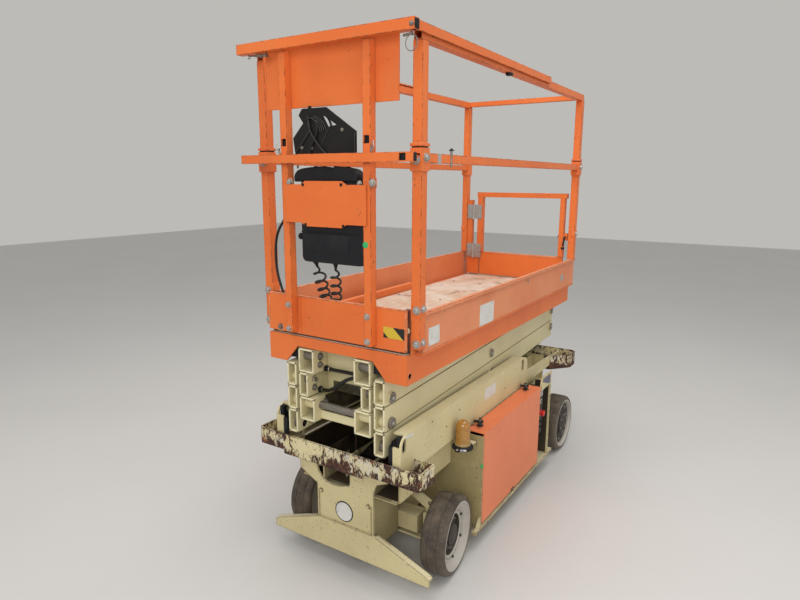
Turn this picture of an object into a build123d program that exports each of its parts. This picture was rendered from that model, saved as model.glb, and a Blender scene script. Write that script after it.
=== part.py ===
from build123d import *
import math
import os

os.makedirs("parts", exist_ok=True)

# ---------------------------------------------------------------- driving dimensions (mm)
# +X forward (steering end), +Y the machine's left, +Z up. Pieces are drawn about the deck's
# middle; SHIFT_X then puts the origin on the floor under the middle of the overall box.
SHIFT_X = 9.0
LEN_F, LEN_R = 927.0, -927.0      # overall ends
HALF_W = 385.0                    # half of the overall width
TOP_Z = 2009.0                    # top of the extension's hand rail

WHEEL_R, WHEEL_W = 159.0, 105.0
SHIFT_Z = 18.0                    # the drawing's zero height lies this far above the floor
WHEEL_Z = WHEEL_R - SHIFT_Z
RIM_R = 137.7                     # rim under a thin solid band of rubber
AXLE_F, AXLE_R = 579.0, -786.0    # wheel centres along X
WHEEL_OUT = 380.0                 # outer face of a wheel that points ahead
KING_Y = 262.0                    # steering axis
STEER_REST = 6.0                 # the front wheels stand a little to the left

PIN_F, PIN_R = 831.0, -895.0      # scissor end pins at rest
PIN_Z0, PITCH = 587.0, 97.0       # lowest pin height, rise for each stage at rest
PIN_RAD = 15.0
RUN = 0.05                        # running clearance of a hinge pin
OPEN = 0.5                        # clearance of a pivot that is left open
MID_X = (PIN_F + PIN_R) / 2
TUBE_H = 92.0
LOW_OFF, HIGH_OFF = 23.0, -14.0   # tube centre above the pin at an arm's low and high end
OVER_F, OVER_R = 42.0, 30.0        # tube past the pin at the front and rear
OUT_Y = (183.0, 228.0)            # outer arms
IN_Y = {1: (95.0, 168.0), 2: (126.0, 168.0), 3: (95.0, 168.0)}   # inner arms by stage
ARM_WALL = 6.0

RAIL_Y = (245.0, 297.0)           # chassis side channel
RAIL_Z = (500.0, 655.0)
RAIL_X = (-890.0, 872.0)

DECK_Y = 318.0                    # half width of the deck's skirt
DECK_X = (-915.0, 870.0)
SKIRT_Z = (850.0, 956.0)
NOTCH_Z = 916.0
TOE_Y = 345.0                     # outer face of the side toe boards
TOE_Z = (956.0, 1102.0)
POST = 35.0
POST_F, POST_R = 828.5, -869.5    # main post centres along X
POST_Y = 336.5
RAIL_S = 30.0                     # hand rail section
MID_Z = (1597.0, 1627.0)
MAIN_TOP = (1964.0, 1996.0)
EXT_TOP = (1981.0, 2009.0)
EXT_TRAVEL = 900.0
BOX_X0 = 850.0                    # back of the control box

CYL_B = (690.0, 395.0)            # lift cylinder's lower eye (x, z)
CYL_E = (-99.0, 548.0)            # its rod's eye

# ---------------------------------------------------------------- helpers
nodes = {}


def bx(x, y, z):
    """A block from three (low, high) pairs."""
    return Pos((x[0] + x[1]) / 2, (y[0] + y[1]) / 2, (z[0] + z[1]) / 2) * Box(
        x[1] - x[0], y[1] - y[0], z[1] - z[0]
    )


def cyl_y(x, z, y0, y1, r):
    return Pos(x, (y0 + y1) / 2, z) * Rot(90, 0, 0) * Cylinder(r, y1 - y0)


def cyl_z(x, y, z0, z1, r):
    return Pos(x, y, (z0 + z1) / 2) * Cylinder(r, z1 - z0)


def cyl_x(y, z, x0, x1, r):
    return Pos((x0 + x1) / 2, y, z) * Rot(0, 90, 0) * Cylinder(r, x1 - x0)


def plate_yz(points, x0, x1):
    """A plate whose outline is (y, z) points, from x0 to x1."""
    face = make_face(Polyline([(x0, y, z) for y, z in points], close=True))
    return extrude(face, amount=x1 - x0, dir=(1, 0, 0))


def plate_xz(points, y0, y1):
    face = make_face(Polyline([(x, y0, z) for x, z in points], close=True))
    return extrude(face, amount=y1 - y0, dir=(0, 1, 0))


def plate_xy(points, z0, z1):
    face = make_face(Polyline([(x, y, z0) for x, y in points], close=True))
    return extrude(face, amount=z1 - z0, dir=(0, 0, 1))


def flip(shape):
    """The same piece on the other side of the machine."""
    return mirror(shape, about=Plane.XZ)


def solids_of(*shapes):
    out = []
    for shape in shapes:
        out += list(shape.solids())
    return out


def keep(name, *shapes):
    """Writes a node; several shapes stay separate solids."""
    parts = [s.moved(Location((SHIFT_X, 0, SHIFT_Z))) for s in solids_of(*shapes)]
    nodes[name] = parts[0] if len(parts) == 1 else Compound(children=parts)


def pair(shape):
    return [shape, flip(shape)]


# ---------------------------------------------------------------- chassis
def side_rail():
    """C channel, open inboard, cut low behind the hook, with a ledge for the slide block."""
    y0, y1 = RAIL_Y
    z0, z1 = RAIL_Z
    x0, x1 = RAIL_X
    t = 8.0
    s = plate_xz(
        [(x0, z0), (x1, z0), (x1, z1 - 42), (x1 - 4, z1 - 26), (x1 - 15, z1 - 11), (x1 - 34, z1), (-292, z1), (-330, 645), (-350, 622), (-358, 566), (-700, 556), (-800, 546), (x0, 546)],
        y1 - t, y1,
    )
    s += bx((-292, x1 - 34), (y0, y1), (z1 - t, z1))
    s -= bx((-300, -272), (y1 - 20, y1 + 5), (590, 642))
    s += bx((x0, x1), (y0, y1), (z0, z0 + t))
    s += bx((x1 - t, x1), (y1 - 35, y1), (z0, z1 - 42))
    s += bx((-40.0, x1 - t), (y0, y1), (546.0, 552.0))
    s -= plate_xz([(x1 - 36, 596), (x1 - 30, 590), (x1 - 16, 590), (x1 - 10, 600), (x1 - 10, 622), (x1 - 16, 636), (x1 - 26, 645), (x1 - 36, 645)], y1 - 20, y1 + 5)  # slot
    return s


rail = side_rail()
keep("side_rails", *pair(rail))

# front column: a box that carries the bumper, flared at the top, clear of the turned tyres
COL_Y = 125.0
col_front = plate_yz(
    [(-150, 110), (130, 110), (130, 362), (145, 400), (240, 440), (240, 472), (-240, 472), (-240, 372), (-150, 325)],
    796.0, 804.0,
)
col_front -= plate_yz([(-150, 455), (-149, 404), (-143, 380), (-128, 360), (-104, 346), (-70, 340), (-35, 343), (-6, 351), (14, 358), (17, 375), (17, 455)], 780, 820)
column = [col_front]
column += pair(bx((628.3, 795.7), (COL_Y - 8, COL_Y), (118.3, 472)))
column += [bx((620, 628), (-COL_Y, COL_Y), (118.3, 330)), bx((620, 795.7), (-COL_Y, COL_Y), (110, 118))]
# spine between the column and the compartments
spine = pair(bx((370.3, 619.7), (87, 95), (118.3, 492))) + [bx((370.3, 619.7), (-95, 95), (110, 118))]
# floor and sides of the well the lower cylinder eye stands in
well = [
    bx((370.6, 619.4), (-86.4, 86.4), (340, 346)),
    bx((370.6, 795.4), (125.6, 229.4), (340, 346)),
    bx((370.6, 781.4), (230, 236), (340, 499)),
    bx((370.6, 619.4), (95.6, 125), (340, 346)),
    bx((370.6, 781.4), (236.3, 244.7), (492, 498)),   # cover strip to the side rail
]
keep("front_column", *column, *spine, well[0], *[w for piece in well[1:] for w in pair(piece)])

guard_pts = [(-385, 60), (385, 60), (385, 92), (372, 100), (135, 185), (-135, 185), (-372, 100), (-385, 92)]
guard = plate_yz(guard_pts, 804.3, 812.0)
guard += plate_yz([(385, 84), (385, 92), (372, 100), (135, 185), (135, 177), (372, 92)], 786.0, 804.4)
guard += plate_yz([(-385, 84), (-385, 92), (-372, 100), (-135, 185), (-135, 177), (-372, 92)], 786.0, 804.4)
guard -= bx((780, 804.3), (-156, 140), (50, 200))
keep("front_guard", guard)

tray_out = [(782, -385), (875, -385), (886, -374), (886, 374), (875, 385), (782, 385)]
tray_in = [(790, -377), (872, -377), (878, -371), (878, 371), (872, 377), (790, 377)]
tray = plate_xy(tray_out, 478, 545) - plate_xy(tray_in, 499.5, 560)
tray = tray - bx((700, 866), (-232, 232), (470, 560))
tray -= plate_xy(tray_in, 470, 491)
tray += bx((878, 886), (-250, 140), (462, 479))                    # deeper lip in the middle
tray -= bx((700, 858), (RAIL_Y[0] - 6, RAIL_Y[1] + 6), (499.5, 560))
tray -= bx((700, 858), (-RAIL_Y[1] - 6, -RAIL_Y[0] + 6), (499.5, 560))
keep("front_bumper", tray)

# rear bumper tray and rear body
rtray_out = [(-920, -370), (-905, -385), (-822, -385), (-716, -298), (-716, 298), (-822, 385), (-905, 385), (-920, 370)]
rtray_in = [(-912, -367), (-902, -377), (-825, -377), (-728, -297.6), (-728, 297.6), (-825, 377), (-902, 377), (-912, 367)]
rtray = plate_xy(rtray_out, 474, 552)
rtray -= plate_xy(rtray_in, 499.5, 560)
rtray -= plate_xy(rtray_in, 470, 491)
rtray -= bx((-897, -700), (-232, 232), (470, 560))
for side_y in ((RAIL_Y[0] - 14, RAIL_Y[1] + 0.4), (-RAIL_Y[1] - 0.4, -RAIL_Y[0] + 14)):
    rtray -= bx((-898, -700), side_y, (499.5, 560))
keep("rear_bumper", rtray)

rear_box = bx((-896, -888), (-200, 200), (120, 499)) + bx((-888, -488.3), (-135, -127), (120, 499)) + bx(
    (-888, -488.3), (127, 135), (120, 499)
) + bx((-888, -488.3), (-135, 135), (120, 128))
keep("rear_body", rear_box)

# compartments between the axles, one on each side
COMP_X = (-480.0, 362.0)
comp = [
    bx((362, 370), (87, 385), (76.3, 490)),
    bx((-488, -480), (87, 385), (76.3, 490)),
    bx((-479.7, 361.7), (130, 138), (76.3, 490)),
    bx((-488, 370), (87, 364.7), (68, 76)),
    bx((-488, 370), (130, 297), (490.3, 498)),
    bx((-560, 417), (365, 385), (60, 76)),
    plate_xz([(370.3, 76.3), (417, 76.3), (370.3, 128)], 377, 385),
    plate_xz([(-479.7, 476), (-335, 476), (-335, 503), (-350, 545), (-488.3, 545), (-488.3, 490.3), (-479.7, 490.3)], 377, 385),
    plate_xz([(-488.3, 76.3), (-560, 76.3), (-488.3, 110)], 377, 385),
    bx((-336, -330), (300, 376), (76.3, 490)),
]
beacon_bracket = bx((370.3, 490), (313, 357), (464, 468)) + bx((370.3, 374), (313, 357), (430, 466))
keep("compartment_frames", *[w for piece in comp for w in pair(piece)], beacon_bracket, bx((-488, 370), (-86.7, 86.7), (68, 76)))

# heavy contents
keep("battery_and_pump_blocks", *pair(bx((-290, 330), (150, 350), (80, 340))), bx((-465, -345), (150, 285), (90, 330)), bx((-465, -345), (-285, -150), (90, 330)))

# ground control box in the left recess, charger inlet on the right
ctrl = bx((-424, -344), (302, 368), (216, 474))
keep("ground_controls", ctrl, flip(ctrl))
keep("stop_button", cyl_y(-384, 340, 368.3, 378, 17.0) + cyl_y(-384, 340, 377, 392, 14.0))

# beacon
beacon = cyl_z(460, 335, 468.3, 482, 44.0) + bx((406, 514), (326, 344), (468.3, 476)) + cyl_z(460, 335, 481, 493, 33.0)
beacon += cyl_z(460, 335, 492, 561, 29.5) + Pos(460, 335, 561) * Sphere(29.5)
keep("beacon", beacon)

# ladder at the rear
ladder = bx((-925, -896.3), (-160, -150), (150, 473.7)) + bx((-925, -896.3), (150, 160), (150, 473.7))
for z in (160.0, 320.0):
    ladder += bx((-925, -896.3), (-160, 160), (z, z + 12))
keep("ladder", ladder)

# axles
axle = bx((548, 619.7), (95.3, 217), (126, 200))
arm_x = (AXLE_F - 20, AXLE_F + 20)              # narrow enough for the turned rims
axle += bx(arm_x, (95.3, 275), (88, 96)) + cyl_z(AXLE_F, KING_Y, 88, 96, 26.0)
axle += plate_yz([(95.3, 300), (150, 300), (282, 240), (282, 228), (262, 228), (150, 288), (95.3, 288)], *arm_x)
axle += cyl_z(AXLE_F, KING_Y, 226, 236, 26.0)
axle -= cyl_z(AXLE_F, KING_Y, 80, 320, 16.0 + RUN)
keep("front_axle", *pair(axle))

drive = cyl_y(AXLE_R, WHEEL_Z, 135.3, 262, 78.0) + cyl_y(AXLE_R, WHEEL_Z, 255, 330, 40.0)
keep("drive_motors", *pair(drive))

# pivots of the lift on the chassis
lug = plate_xz([(-885, 505), (PIN_R + 80, 505), (PIN_R + 22, PIN_Z0 + 22), (PIN_R - 18, PIN_Z0 + 22), (PIN_R - 18, PIN_Z0 - 20)], 82, 90)
lug += cyl_y(PIN_R, PIN_Z0, 90, 166, PIN_RAD)
lug += bx((-885, PIN_R + 80), (82, 127), (499.3, 507))

base = bx((650, 730), (-60, -52), (330, 430)) + bx((650, 730), (52, 60), (330, 430)) + bx((628.3, 795.7), (-COL_Y + 8.3, COL_Y - 8.3), (322, 330))
base += cyl_y(CYL_B[0], CYL_B[1], -60, 60, 14.0)
keep("lift_mounts", *pair(lug), base)


# ---------------------------------------------------------------- steering and wheels
def wheel(outer_recess, name):
    """Tyre and rim about the Y axis, outer face at +WHEEL_W / 2."""
    h = WHEEL_W / 2
    tyre = Rot(90, 0, 0) * Cylinder(WHEEL_R, WHEEL_W)
    tyre = chamfer(tyre.edges().filter_by(GeomType.CIRCLE), 8.0)
    tyre -= Rot(90, 0, 0) * Cylinder(RIM_R + 0.3, WHEEL_W + 2)
    rim = Rot(90, 0, 0) * Cylinder(RIM_R, WHEEL_W - 4)
    if name == "front":             # dished, with an open hub
        rim -= Pos(0, h - 14.0, 0) * Rot(90, 0, 0) * Cone(132.0, 92.0, 28.0)
        rim -= Pos(0, h - outer_recess / 2, 0) * Rot(90, 0, 0) * Cylinder(82.0, outer_recess)
    else:
        rim -= Pos(0, h - outer_recess / 2, 0) * Rot(90, 0, 0) * Cylinder(126.0, outer_recess)
    inner = WHEEL_W - outer_recess - 14.0
    rim -= Pos(0, -h + inner / 2, 0) * Rot(90, 0, 0) * Cylinder(124.0, inner)
    rim += Pos(0, h - outer_recess + 12.0, 0) * Rot(90, 0, 0) * Cylinder(42.0, 26.0)
    return tyre, rim


def steer(shape):
    """Turns a left-side piece about its steering axis to the rest angle."""
    return Pos(AXLE_F, KING_Y, 0) * Rot(0, 0, STEER_REST) * Pos(-AXLE_F, -KING_Y, 0) * shape


def steer_right(shape):
    return Pos(AXLE_F, -KING_Y, 0) * Rot(0, 0, STEER_REST) * Pos(-AXLE_F, KING_Y, 0) * shape


WHEEL_MID = WHEEL_OUT - WHEEL_W / 2
tyre_f, rim_f = wheel(46.0, "front")
tyre_r, rim_r = wheel(20.0, "rear")
rim_f -= Rot(90, 0, 0) * Cylinder(20.0 + RUN, 400)
rim_r -= Rot(90, 0, 0) * Cylinder(40.0 + RUN, 400)
rim_r += Pos(0, WHEEL_W / 2 - 16, 0) * Rot(90, 0, 0) * Cylinder(60.0, 20.0)
tyre_fl = Pos(AXLE_F, WHEEL_MID, WHEEL_Z) * tyre_f
rim_fl = Pos(AXLE_F, WHEEL_MID, WHEEL_Z) * rim_f
tyre_rl = Pos(AXLE_R, WHEEL_MID, WHEEL_Z) * tyre_r
rim_rl = Pos(AXLE_R, WHEEL_MID, WHEEL_Z) * rim_r
keep("tyre_front_left", steer(tyre_fl))
keep("rim_front_left", steer(rim_fl))
keep("tyre_front_right", steer_right(flip(tyre_fl)))
keep("rim_front_right", steer_right(flip(rim_fl)))
keep("tyre_rear_left", tyre_rl)
keep("rim_rear_left", rim_rl)
keep("tyre_rear_right", flip(tyre_rl))
keep("rim_rear_right", flip(rim_rl))

knuckle = cyl_z(AXLE_F, KING_Y, 82, 242, 16.0)
knuckle += bx((AXLE_F - 28, AXLE_F + 28), (KING_Y - 26, KING_Y + 26), (102, 218))
knuckle += cyl_y(AXLE_F, WHEEL_Z, KING_Y + 20, WHEEL_OUT - 28, 20.0)
keep("knuckle_left", steer(knuckle))
keep("knuckle_right", steer_right(flip(knuckle)))

# ---------------------------------------------------------------- side doors
door = bx((-325, 357), (377, 385), (88, 490))
door += bx((-325, 357), (303, 385), (498.3, 502)) + bx((-325, 357), (381, 385), (488, 502))
keep("battery_door_left", door)
keep("battery_door_right", flip(door))
latch_rows = [(-250.0,), (290.0,)]            # x of each latch
handles = []
for (lx,) in latch_rows:
    h = cyl_z(lx, 332, 502.3, 516, 12.0) + bx((lx - 9, lx + 9), (304, 360), (516, 524))
    h += bx((lx - 34, lx + 34), (326, 338), (516, 524))
    handles.append(h)
keep("door_latches_left", *handles)
keep("door_latches_right", *[flip(h) for h in handles])

# ---------------------------------------------------------------- scissor arms
def arm_tube(y, z_low, high_front):
    """One open-ended tube whose low pin is at z_low; high_front says which end is high."""
    lx, hx = (PIN_R, PIN_F) if high_front else (PIN_F, PIN_R)
    lz, hz = z_low + LOW_OFF, z_low + PITCH + HIGH_OFF
    slope = (hz - lz) / (hx - lx)
    x0, x1 = PIN_R - OVER_R, PIN_F + OVER_F
    zc = lambda x: lz + slope * (x - lx)
    h = TUBE_H / 2
    outer = plate_xz([(x0, zc(x0) - h), (x1, zc(x1) - h), (x1, zc(x1) + h), (x0, zc(x0) + h)], y[0], y[1])
    k = h - ARM_WALL
    e = 10.0
    inner = plate_xz(
        [(x0 - e, zc(x0 - e) - k), (x1 + e, zc(x1 + e) - k), (x1 + e, zc(x1 + e) + k), (x0 - e, zc(x0 - e) + k)],
        y[0] + ARM_WALL,
        y[1] - ARM_WALL,
    )
    tube = outer - inner
    bores = [(lx, z_low), (hx, z_low + PITCH), (MID_X, z_low + PITCH / 2)]
    for px, pz in bores:
        tube += cyl_y(px, pz, y[0] + 0.5, y[1] - 0.5, PIN_RAD + 7)
        tube -= cyl_y(px, pz, y[0] - 5, y[1] + 5, PIN_RAD + RUN)
    return tube, zc


outer_parts, inner_parts = {}, {}
for stage in (1, 2, 3):
    z_low = PIN_Z0 + PITCH * (stage - 1)
    tube, zc = arm_tube(OUT_Y, z_low, False)
    outer_parts[stage] = pair(tube)
    tube, zc = arm_tube(IN_Y[stage], z_low, True)
    inner_y = IN_Y[stage][0] - 0.3
    z = zc(-560.0)
    frame = pair(tube) + [bx((-585, -535), (-inner_y, inner_y), (z - 44, z - 16))]
    z = zc(PIN_F)
    if stage == 1:
        frame.append(bx((829, 837), (-inner_y, inner_y), (z - 39, z - 6)))
        zl = zc(CYL_E[0]) - TUBE_H / 2
        rod_lugs = bx((CYL_E[0] - 45, CYL_E[0] + 45), (-inner_y, inner_y), (zl + 4, zl + 20))
        for ly in (30.5, -38.5):
            rod_lugs += plate_xz(
                [(CYL_E[0] - 40, zl + 10), (CYL_E[0] + 40, zl + 10), (CYL_E[0] + 26, CYL_E[1] - 22), (CYL_E[0] - 26, CYL_E[1] - 22)],
                ly, ly + 8,
            )
        frame.append(rod_lugs)
    elif stage == 2:
        frame.append(bx((742, 750), (-inner_y, inner_y), (z - 48, z + 39)))
        frame.append(cyl_y(802, 733, -inner_y, -111.3, 9.0))            # hose gland
    else:
        frame.append(bx((780, 788), (-inner_y, inner_y), (z - 53, z + 41)))
        frame.append(cyl_y(803, 824, -inner_y, -72.0, 9.0))             # hose gland
    inner_parts[stage] = frame

# pins: each row is node, x, pin height in pitches above the lowest, inner end, outer end, radius
HEAD = 21.0
PIN_ROWS = [
    # arms, stage, x, pitches, y0, y1, radius
    (outer_parts, 1, MID_X, 0.5, 91.0, 232.0, PIN_RAD),
    (outer_parts, 1, PIN_R, 1.0, 122.0, 232.0, PIN_RAD),
    (outer_parts, 2, MID_X, 1.5, 122.0, 232.0, PIN_RAD),
    (outer_parts, 2, PIN_R, 2.0, 91.0, 232.0, PIN_RAD),
    (outer_parts, 3, MID_X, 2.5, 91.0, 232.0, PIN_RAD),
    (inner_parts, 2, PIN_F, 2.0, 122.0, 232.0, PIN_RAD - OPEN),
]
for arms, stage, px, n, y0, y1, r in PIN_ROWS:
    pz = PIN_Z0 + n * PITCH
    arms[stage] += pair(cyl_y(px, pz, y0, y1, r) + cyl_y(px, pz, y1 - 3.5, y1 + 4, HEAD))
for stage in (1, 2, 3):
    keep(f"outer_arms_{stage}", *outer_parts[stage])
    keep(f"inner_frame_{stage}", *inner_parts[stage])
r, pz, y1 = PIN_RAD - OPEN, PIN_Z0 + PITCH, 232.0
keep("front_cross_rod", cyl_y(PIN_F, pz, -y1, y1, r) + cyl_y(PIN_F, pz, y1 - 3.5, y1 + 4, HEAD) + cyl_y(PIN_F, pz, -y1 - 4, -y1 + 3.5, HEAD))

# lower slide blocks on the lowest outer arms, upper ones on the highest inner arms
SLIDE_H = 60.0
block = bx((PIN_F - 60, PIN_F + 6), (234, 284), (PIN_Z0 - 29, PIN_Z0 + 29)) + cyl_y(PIN_F, PIN_Z0, 187, 240, PIN_RAD)
keep("slide_blocks", *pair(block))
Z3 = PIN_Z0 + 3 * PITCH
block_top = bx((PIN_F - 32, PIN_F + 26), (172, 256), (Z3 - 12, Z3 + 25)) + cyl_y(PIN_F, Z3, 99, 180, PIN_RAD)
keep("top_slide_blocks", *pair(block_top))

# ---------------------------------------------------------------- lift cylinder
dx, dz = CYL_E[0] - CYL_B[0], CYL_E[1] - CYL_B[1]
cyl_len = math.hypot(dx, dz)
cyl_ang = math.degrees(math.atan2(dz, dx))


def along(shape):
    """Places a piece drawn along +X from the lower eye."""
    return Pos(CYL_B[0], 0, CYL_B[1]) * Rot(0, -cyl_ang, 0) * shape


barrel = cyl_x(0, 0, 30, cyl_len - 90, 42.0) - cyl_x(0, 0, 60, cyl_len, 25.2)
barrel += cyl_y(0, 0, -40, 40, 32.0)
barrel -= cyl_y(0, 0, -70, 70, 14.0 + RUN)
keep("cylinder_barrel", along(barrel))
rod = cyl_x(0, 0, 70, cyl_len - 20, 25.0) + cyl_y(cyl_len, 0, -25, 25, 30.0)
rod -= cyl_y(cyl_len, 0, -70, 70, 14.0)
keep("cylinder_rod", along(rod))

# ---------------------------------------------------------------- platform
x0, x1 = DECK_X
z0, z1 = SKIRT_Z
front_skirt = plate_yz(
    [(-DECK_Y, z0), (-232, z0), (-175, NOTCH_Z), (175, NOTCH_Z), (232, z0), (DECK_Y, z0), (DECK_Y, z1), (-DECK_Y, z1)],
    x1 - 8, x1,
)
rear_skirt = plate_yz(
    [(-DECK_Y, z0), (-262, z0), (-244, 930), (244, 930), (262, z0), (DECK_Y, z0), (DECK_Y, z1), (-DECK_Y, z1)],
    x0, x0 + 8,
)
side = bx((x0 + 8.3, x1 - 8.3), (DECK_Y - 8, DECK_Y), (z0, z1)) - cyl_y(852, 883, 300, 330, 9.0)
step = bx((x0 + 8.3, 811), (DECK_Y + 0.3, TOE_Y), (948, 956))
sheet = bx((x0 + 8.3, x1 - 8.3), (8.3 - DECK_Y, DECK_Y - 8.3), (940, 947.8))
# channels for the upper slide blocks, and the lugs of the fixed end
chan = bx((-60, x1 - 8.3), (262, 268), (Z3 - 23, 939.7)) + bx((-60, x1 - 8.3), (240, 268), (Z3 - 23, Z3 - 17.5))
chan += bx((-60, x1 - 8.3), (240, 268), (Z3 + 31, Z3 + 37))
uplug = plate_xz([(x0 + 8.3, 939.7), (PIN_R + 80, 939.7), (PIN_R + 24, Z3 - 22), (x0 + 8.3, Z3 - 22)], 235, 243)
uplug += cyl_y(PIN_R, Z3, 187, 240, PIN_RAD)
keep("deck_frame", front_skirt, rear_skirt, sheet, *pair(side), *pair(step), *pair(chan), *pair(uplug))
keep("deck_floor", bx((x0 + 8.3, x1 - 8.3), (8.3 - DECK_Y, DECK_Y - 8.3), (948.1, 960)))

toe = bx((x0 + 10, 811), (TOE_Y - 8, TOE_Y), (956.3, TOE_Z[1] - 8)) + bx((x0 + 10, 811), (TOE_Y - 8, TOE_Y + 7), (TOE_Z[1] - 14, TOE_Z[1]))
keep("side_toe_boards", *pair(toe))


def hollow(x, y, z, axis, wall=3.0):
    """A square tube with open ends."""
    s = bx(x, y, z)
    e = 1.0
    cut = {
        "x": ((x[0] - e, x[1] + e), (y[0] + wall, y[1] - wall), (z[0] + wall, z[1] - wall)),
        "y": ((x[0] + wall, x[1] - wall), (y[0] - e, y[1] + e), (z[0] + wall, z[1] - wall)),
        "z": ((x[0] + wall, x[1] - wall), (y[0] + wall, y[1] - wall), (z[0] - e, z[1] + e)),
    }[axis]
    return s - bx(*cut)


post_y = (POST_Y - POST / 2, POST_Y + POST / 2)
bore = 26.0
mid_c = (MID_Z[0] + MID_Z[1]) / 2
front_post = hollow((POST_F - 17.5, POST_F + 17.5), post_y, (977, MAIN_TOP[0] - 0.3), "z")
front_post -= bx((POST_F - 30, POST_F + 30), (POST_Y - bore / 2, POST_Y + bore / 2), (mid_c - bore / 2, mid_c + bore / 2))
rear_post = hollow((POST_R - 17.5, POST_R + 17.5), post_y, (1102.3, MAIN_TOP[0] - 0.3), "z")

SLEEVE_Z = (1569.0, 1642.0)
front_sleeve = bx((POST_F - 23, POST_F + 23), (POST_Y - 23, POST_Y + 23), SLEEVE_Z) - bx(
    (POST_F - 17.8, POST_F + 17.8), (post_y[0] - 0.3, post_y[1] + 0.3), (1500, 1700)
)
front_sleeve -= bx((POST_F - 30, POST_F + 30), (POST_Y - bore / 2, POST_Y + bore / 2), (mid_c - bore / 2, mid_c + bore / 2))
rear_sleeve = bx((POST_R - 23, POST_R + 23), (POST_Y - 23, POST_Y + 23), SLEEVE_Z) - bx(
    (POST_R - 17.8, POST_R + 17.8), (post_y[0] - 0.3, post_y[1] + 0.3), (1500, 1700)
)
keep("post_sleeves", *pair(front_sleeve), *pair(rear_sleeve))
mid = hollow((POST_R + 23.3, POST_F - 23.3), (POST_Y - 15, POST_Y + 15), MID_Z, "x", 2.0)
top = hollow((-887, 846), (321, 351), MAIN_TOP, "x")
keep("main_rails", *pair(mid), *pair(top), hollow((-885, -857), (-320.7, 320.7), (1970, 1996), "y"))

hinge_post = bx((-887, -860), (-318.7, -286), (1102.3, 1420))
hinge_post += bx((-887, -862), (-318.7, -240), (966, 1102.0))
keep("main_posts", *pair(front_post), *pair(rear_post), hinge_post)

# ---------------------------------------------------------------- gate
HINGE = (-852.0, -274.0)
gate_pieces = [
    bx((-885, -857), (-254, 300), (1440, 1468)),
    bx((-885, -857), (-250, -215), (1108, 1439.7)),
    bx((-885, -857), (262, 290), (1108, 1439.7)),
    bx((-873, -865), (-232, 290), (966, 1107.7)),
]
gate_pieces.append(bx((-882, -860), (290.3, 313), (1205, 1245)))      # latch
keep("gate", *gate_pieces)
leaves, fixed_leaves = [], []
for hz in (1112.0, 1350.0):
    leaf = bx((-856.7, -853.7), (HINGE[1], -222), (hz - 42, hz + 42)) + cyl_z(*HINGE, hz - 42, hz + 42, 6.0)
    leaves.append(leaf)
keep("gate_hinges", *leaves)
flv = []
for hz in (1112.0, 1350.0):
    flv.append(bx((-859.7, -856.7), (-318, -283), (hz - 42, hz + 42)))
keep("gate_hinge_leaves", *flv)

# ---------------------------------------------------------------- extension
ext_front = bx((864, 872), (-313, 313), (969, 1115))
deck = bx((-240, 863.7), (-290, 290), (965, 971))
deck += bx((-240, 863.7), (262, 290), (965, 1012)) + bx((-240, 863.7), (-290, -262), (965, 1012))
keep("extension_deck", deck)
epost = hollow((872.3, 903), (165, 195), (978, 1974.7), "z") - bx((895, 908), (169, 191), (1657, 1682))
gland = bx((842, 872.5), (-205, -184), (1432, 1448))
keep("extension_posts", epost, flip(epost) + gland)
XR = -310.0
angle = bx((XR, 896.7), (326, 362), (2003, 2009)) + bx((XR, 896.7), (356, 362), EXT_TOP)
bar = bx((-150, 904.7), (POST_Y - 8, POST_Y + 8), (mid_c - 8, mid_c + 8))
keep("extension_rails", *pair(angle), hollow((897, 927), (-371, 371), (1975, 2009), "y"), *pair(bar), hollow((905.3, 927), (-371, 371), MID_Z, "y") - bx((923, 930), (320, 344), (1601, 1623)))
plate = plate_yz([(-181, 1392), (-100, 1392), (-80, 1380), (80, 1380), (100, 1392), (181, 1392), (181, 1525), (100, 1525), (80, 1537), (-80, 1537), (-100, 1525), (-181, 1525)], 905.3, 911)
keep("extension_panels", ext_front, bx((866, 872), (-283, 283), (1786, 2001)), plate)
cbox = bx((BOX_X0, 899), (-113, 161), (1252, 1545))
cbox = fillet(cbox.edges().filter_by(Axis.X).sort_by(Axis.Z)[:2], 20.0)
lid = plate_yz([(-140, 1528), (-140, 1556), (-126, 1573), (-92, 1584), (-20, 1587), (40, 1587), (96, 1583), (124, 1574), (140, 1558), (140, 1528)], BOX_X0, 902)
cbox += lid + cyl_y(876, 1340, -140, -110, 9.0)
keep("control_box", cbox)
console = plate_yz(
    [(-131, 1600), (131, 1600), (131, 1698), (6, 1780), (-100, 1780), (-116, 1759), (-96, 1732), (-144, 1683)], 888, 893
)
console -= plate_yz([(-12, 1759), (50, 1721), (14, 1716)], 880, 900)
console += bx((852, 892), (-131, -126), (1600, 1680))
console += bx((852, 892), (-131, 131), (1600, 1605))
keep("control_bracket", console)

# ---------------------------------------------------------------- cables
# curly cords: one closed tube of the outer diameter, from the box to the extension deck
CURLY_ROWS = [
    # node, top (x, y), foot (x, y), outer radius
    ("curly_cord_left", (872.0, 20.0), (801.0, -34.0), 23.0),
    ("curly_cord_right", (872.0, -71.0), (764.0, -78.0), 26.0),
]
for name, top_xy, foot_xy, r_out in CURLY_ROWS:
    a, b = Vector(*top_xy, 1251.7), Vector(*foot_xy, 971.3)
    line = Plane(origin=a, z_dir=b - a)
    fat = line * Pos(0, 0, (b - a).length / 2) * Cylinder(r_out, (b - a).length + 60)
    keep(name, fat & bx((700, 950), (-200, 200), (971.3, 1251.7)))

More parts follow.
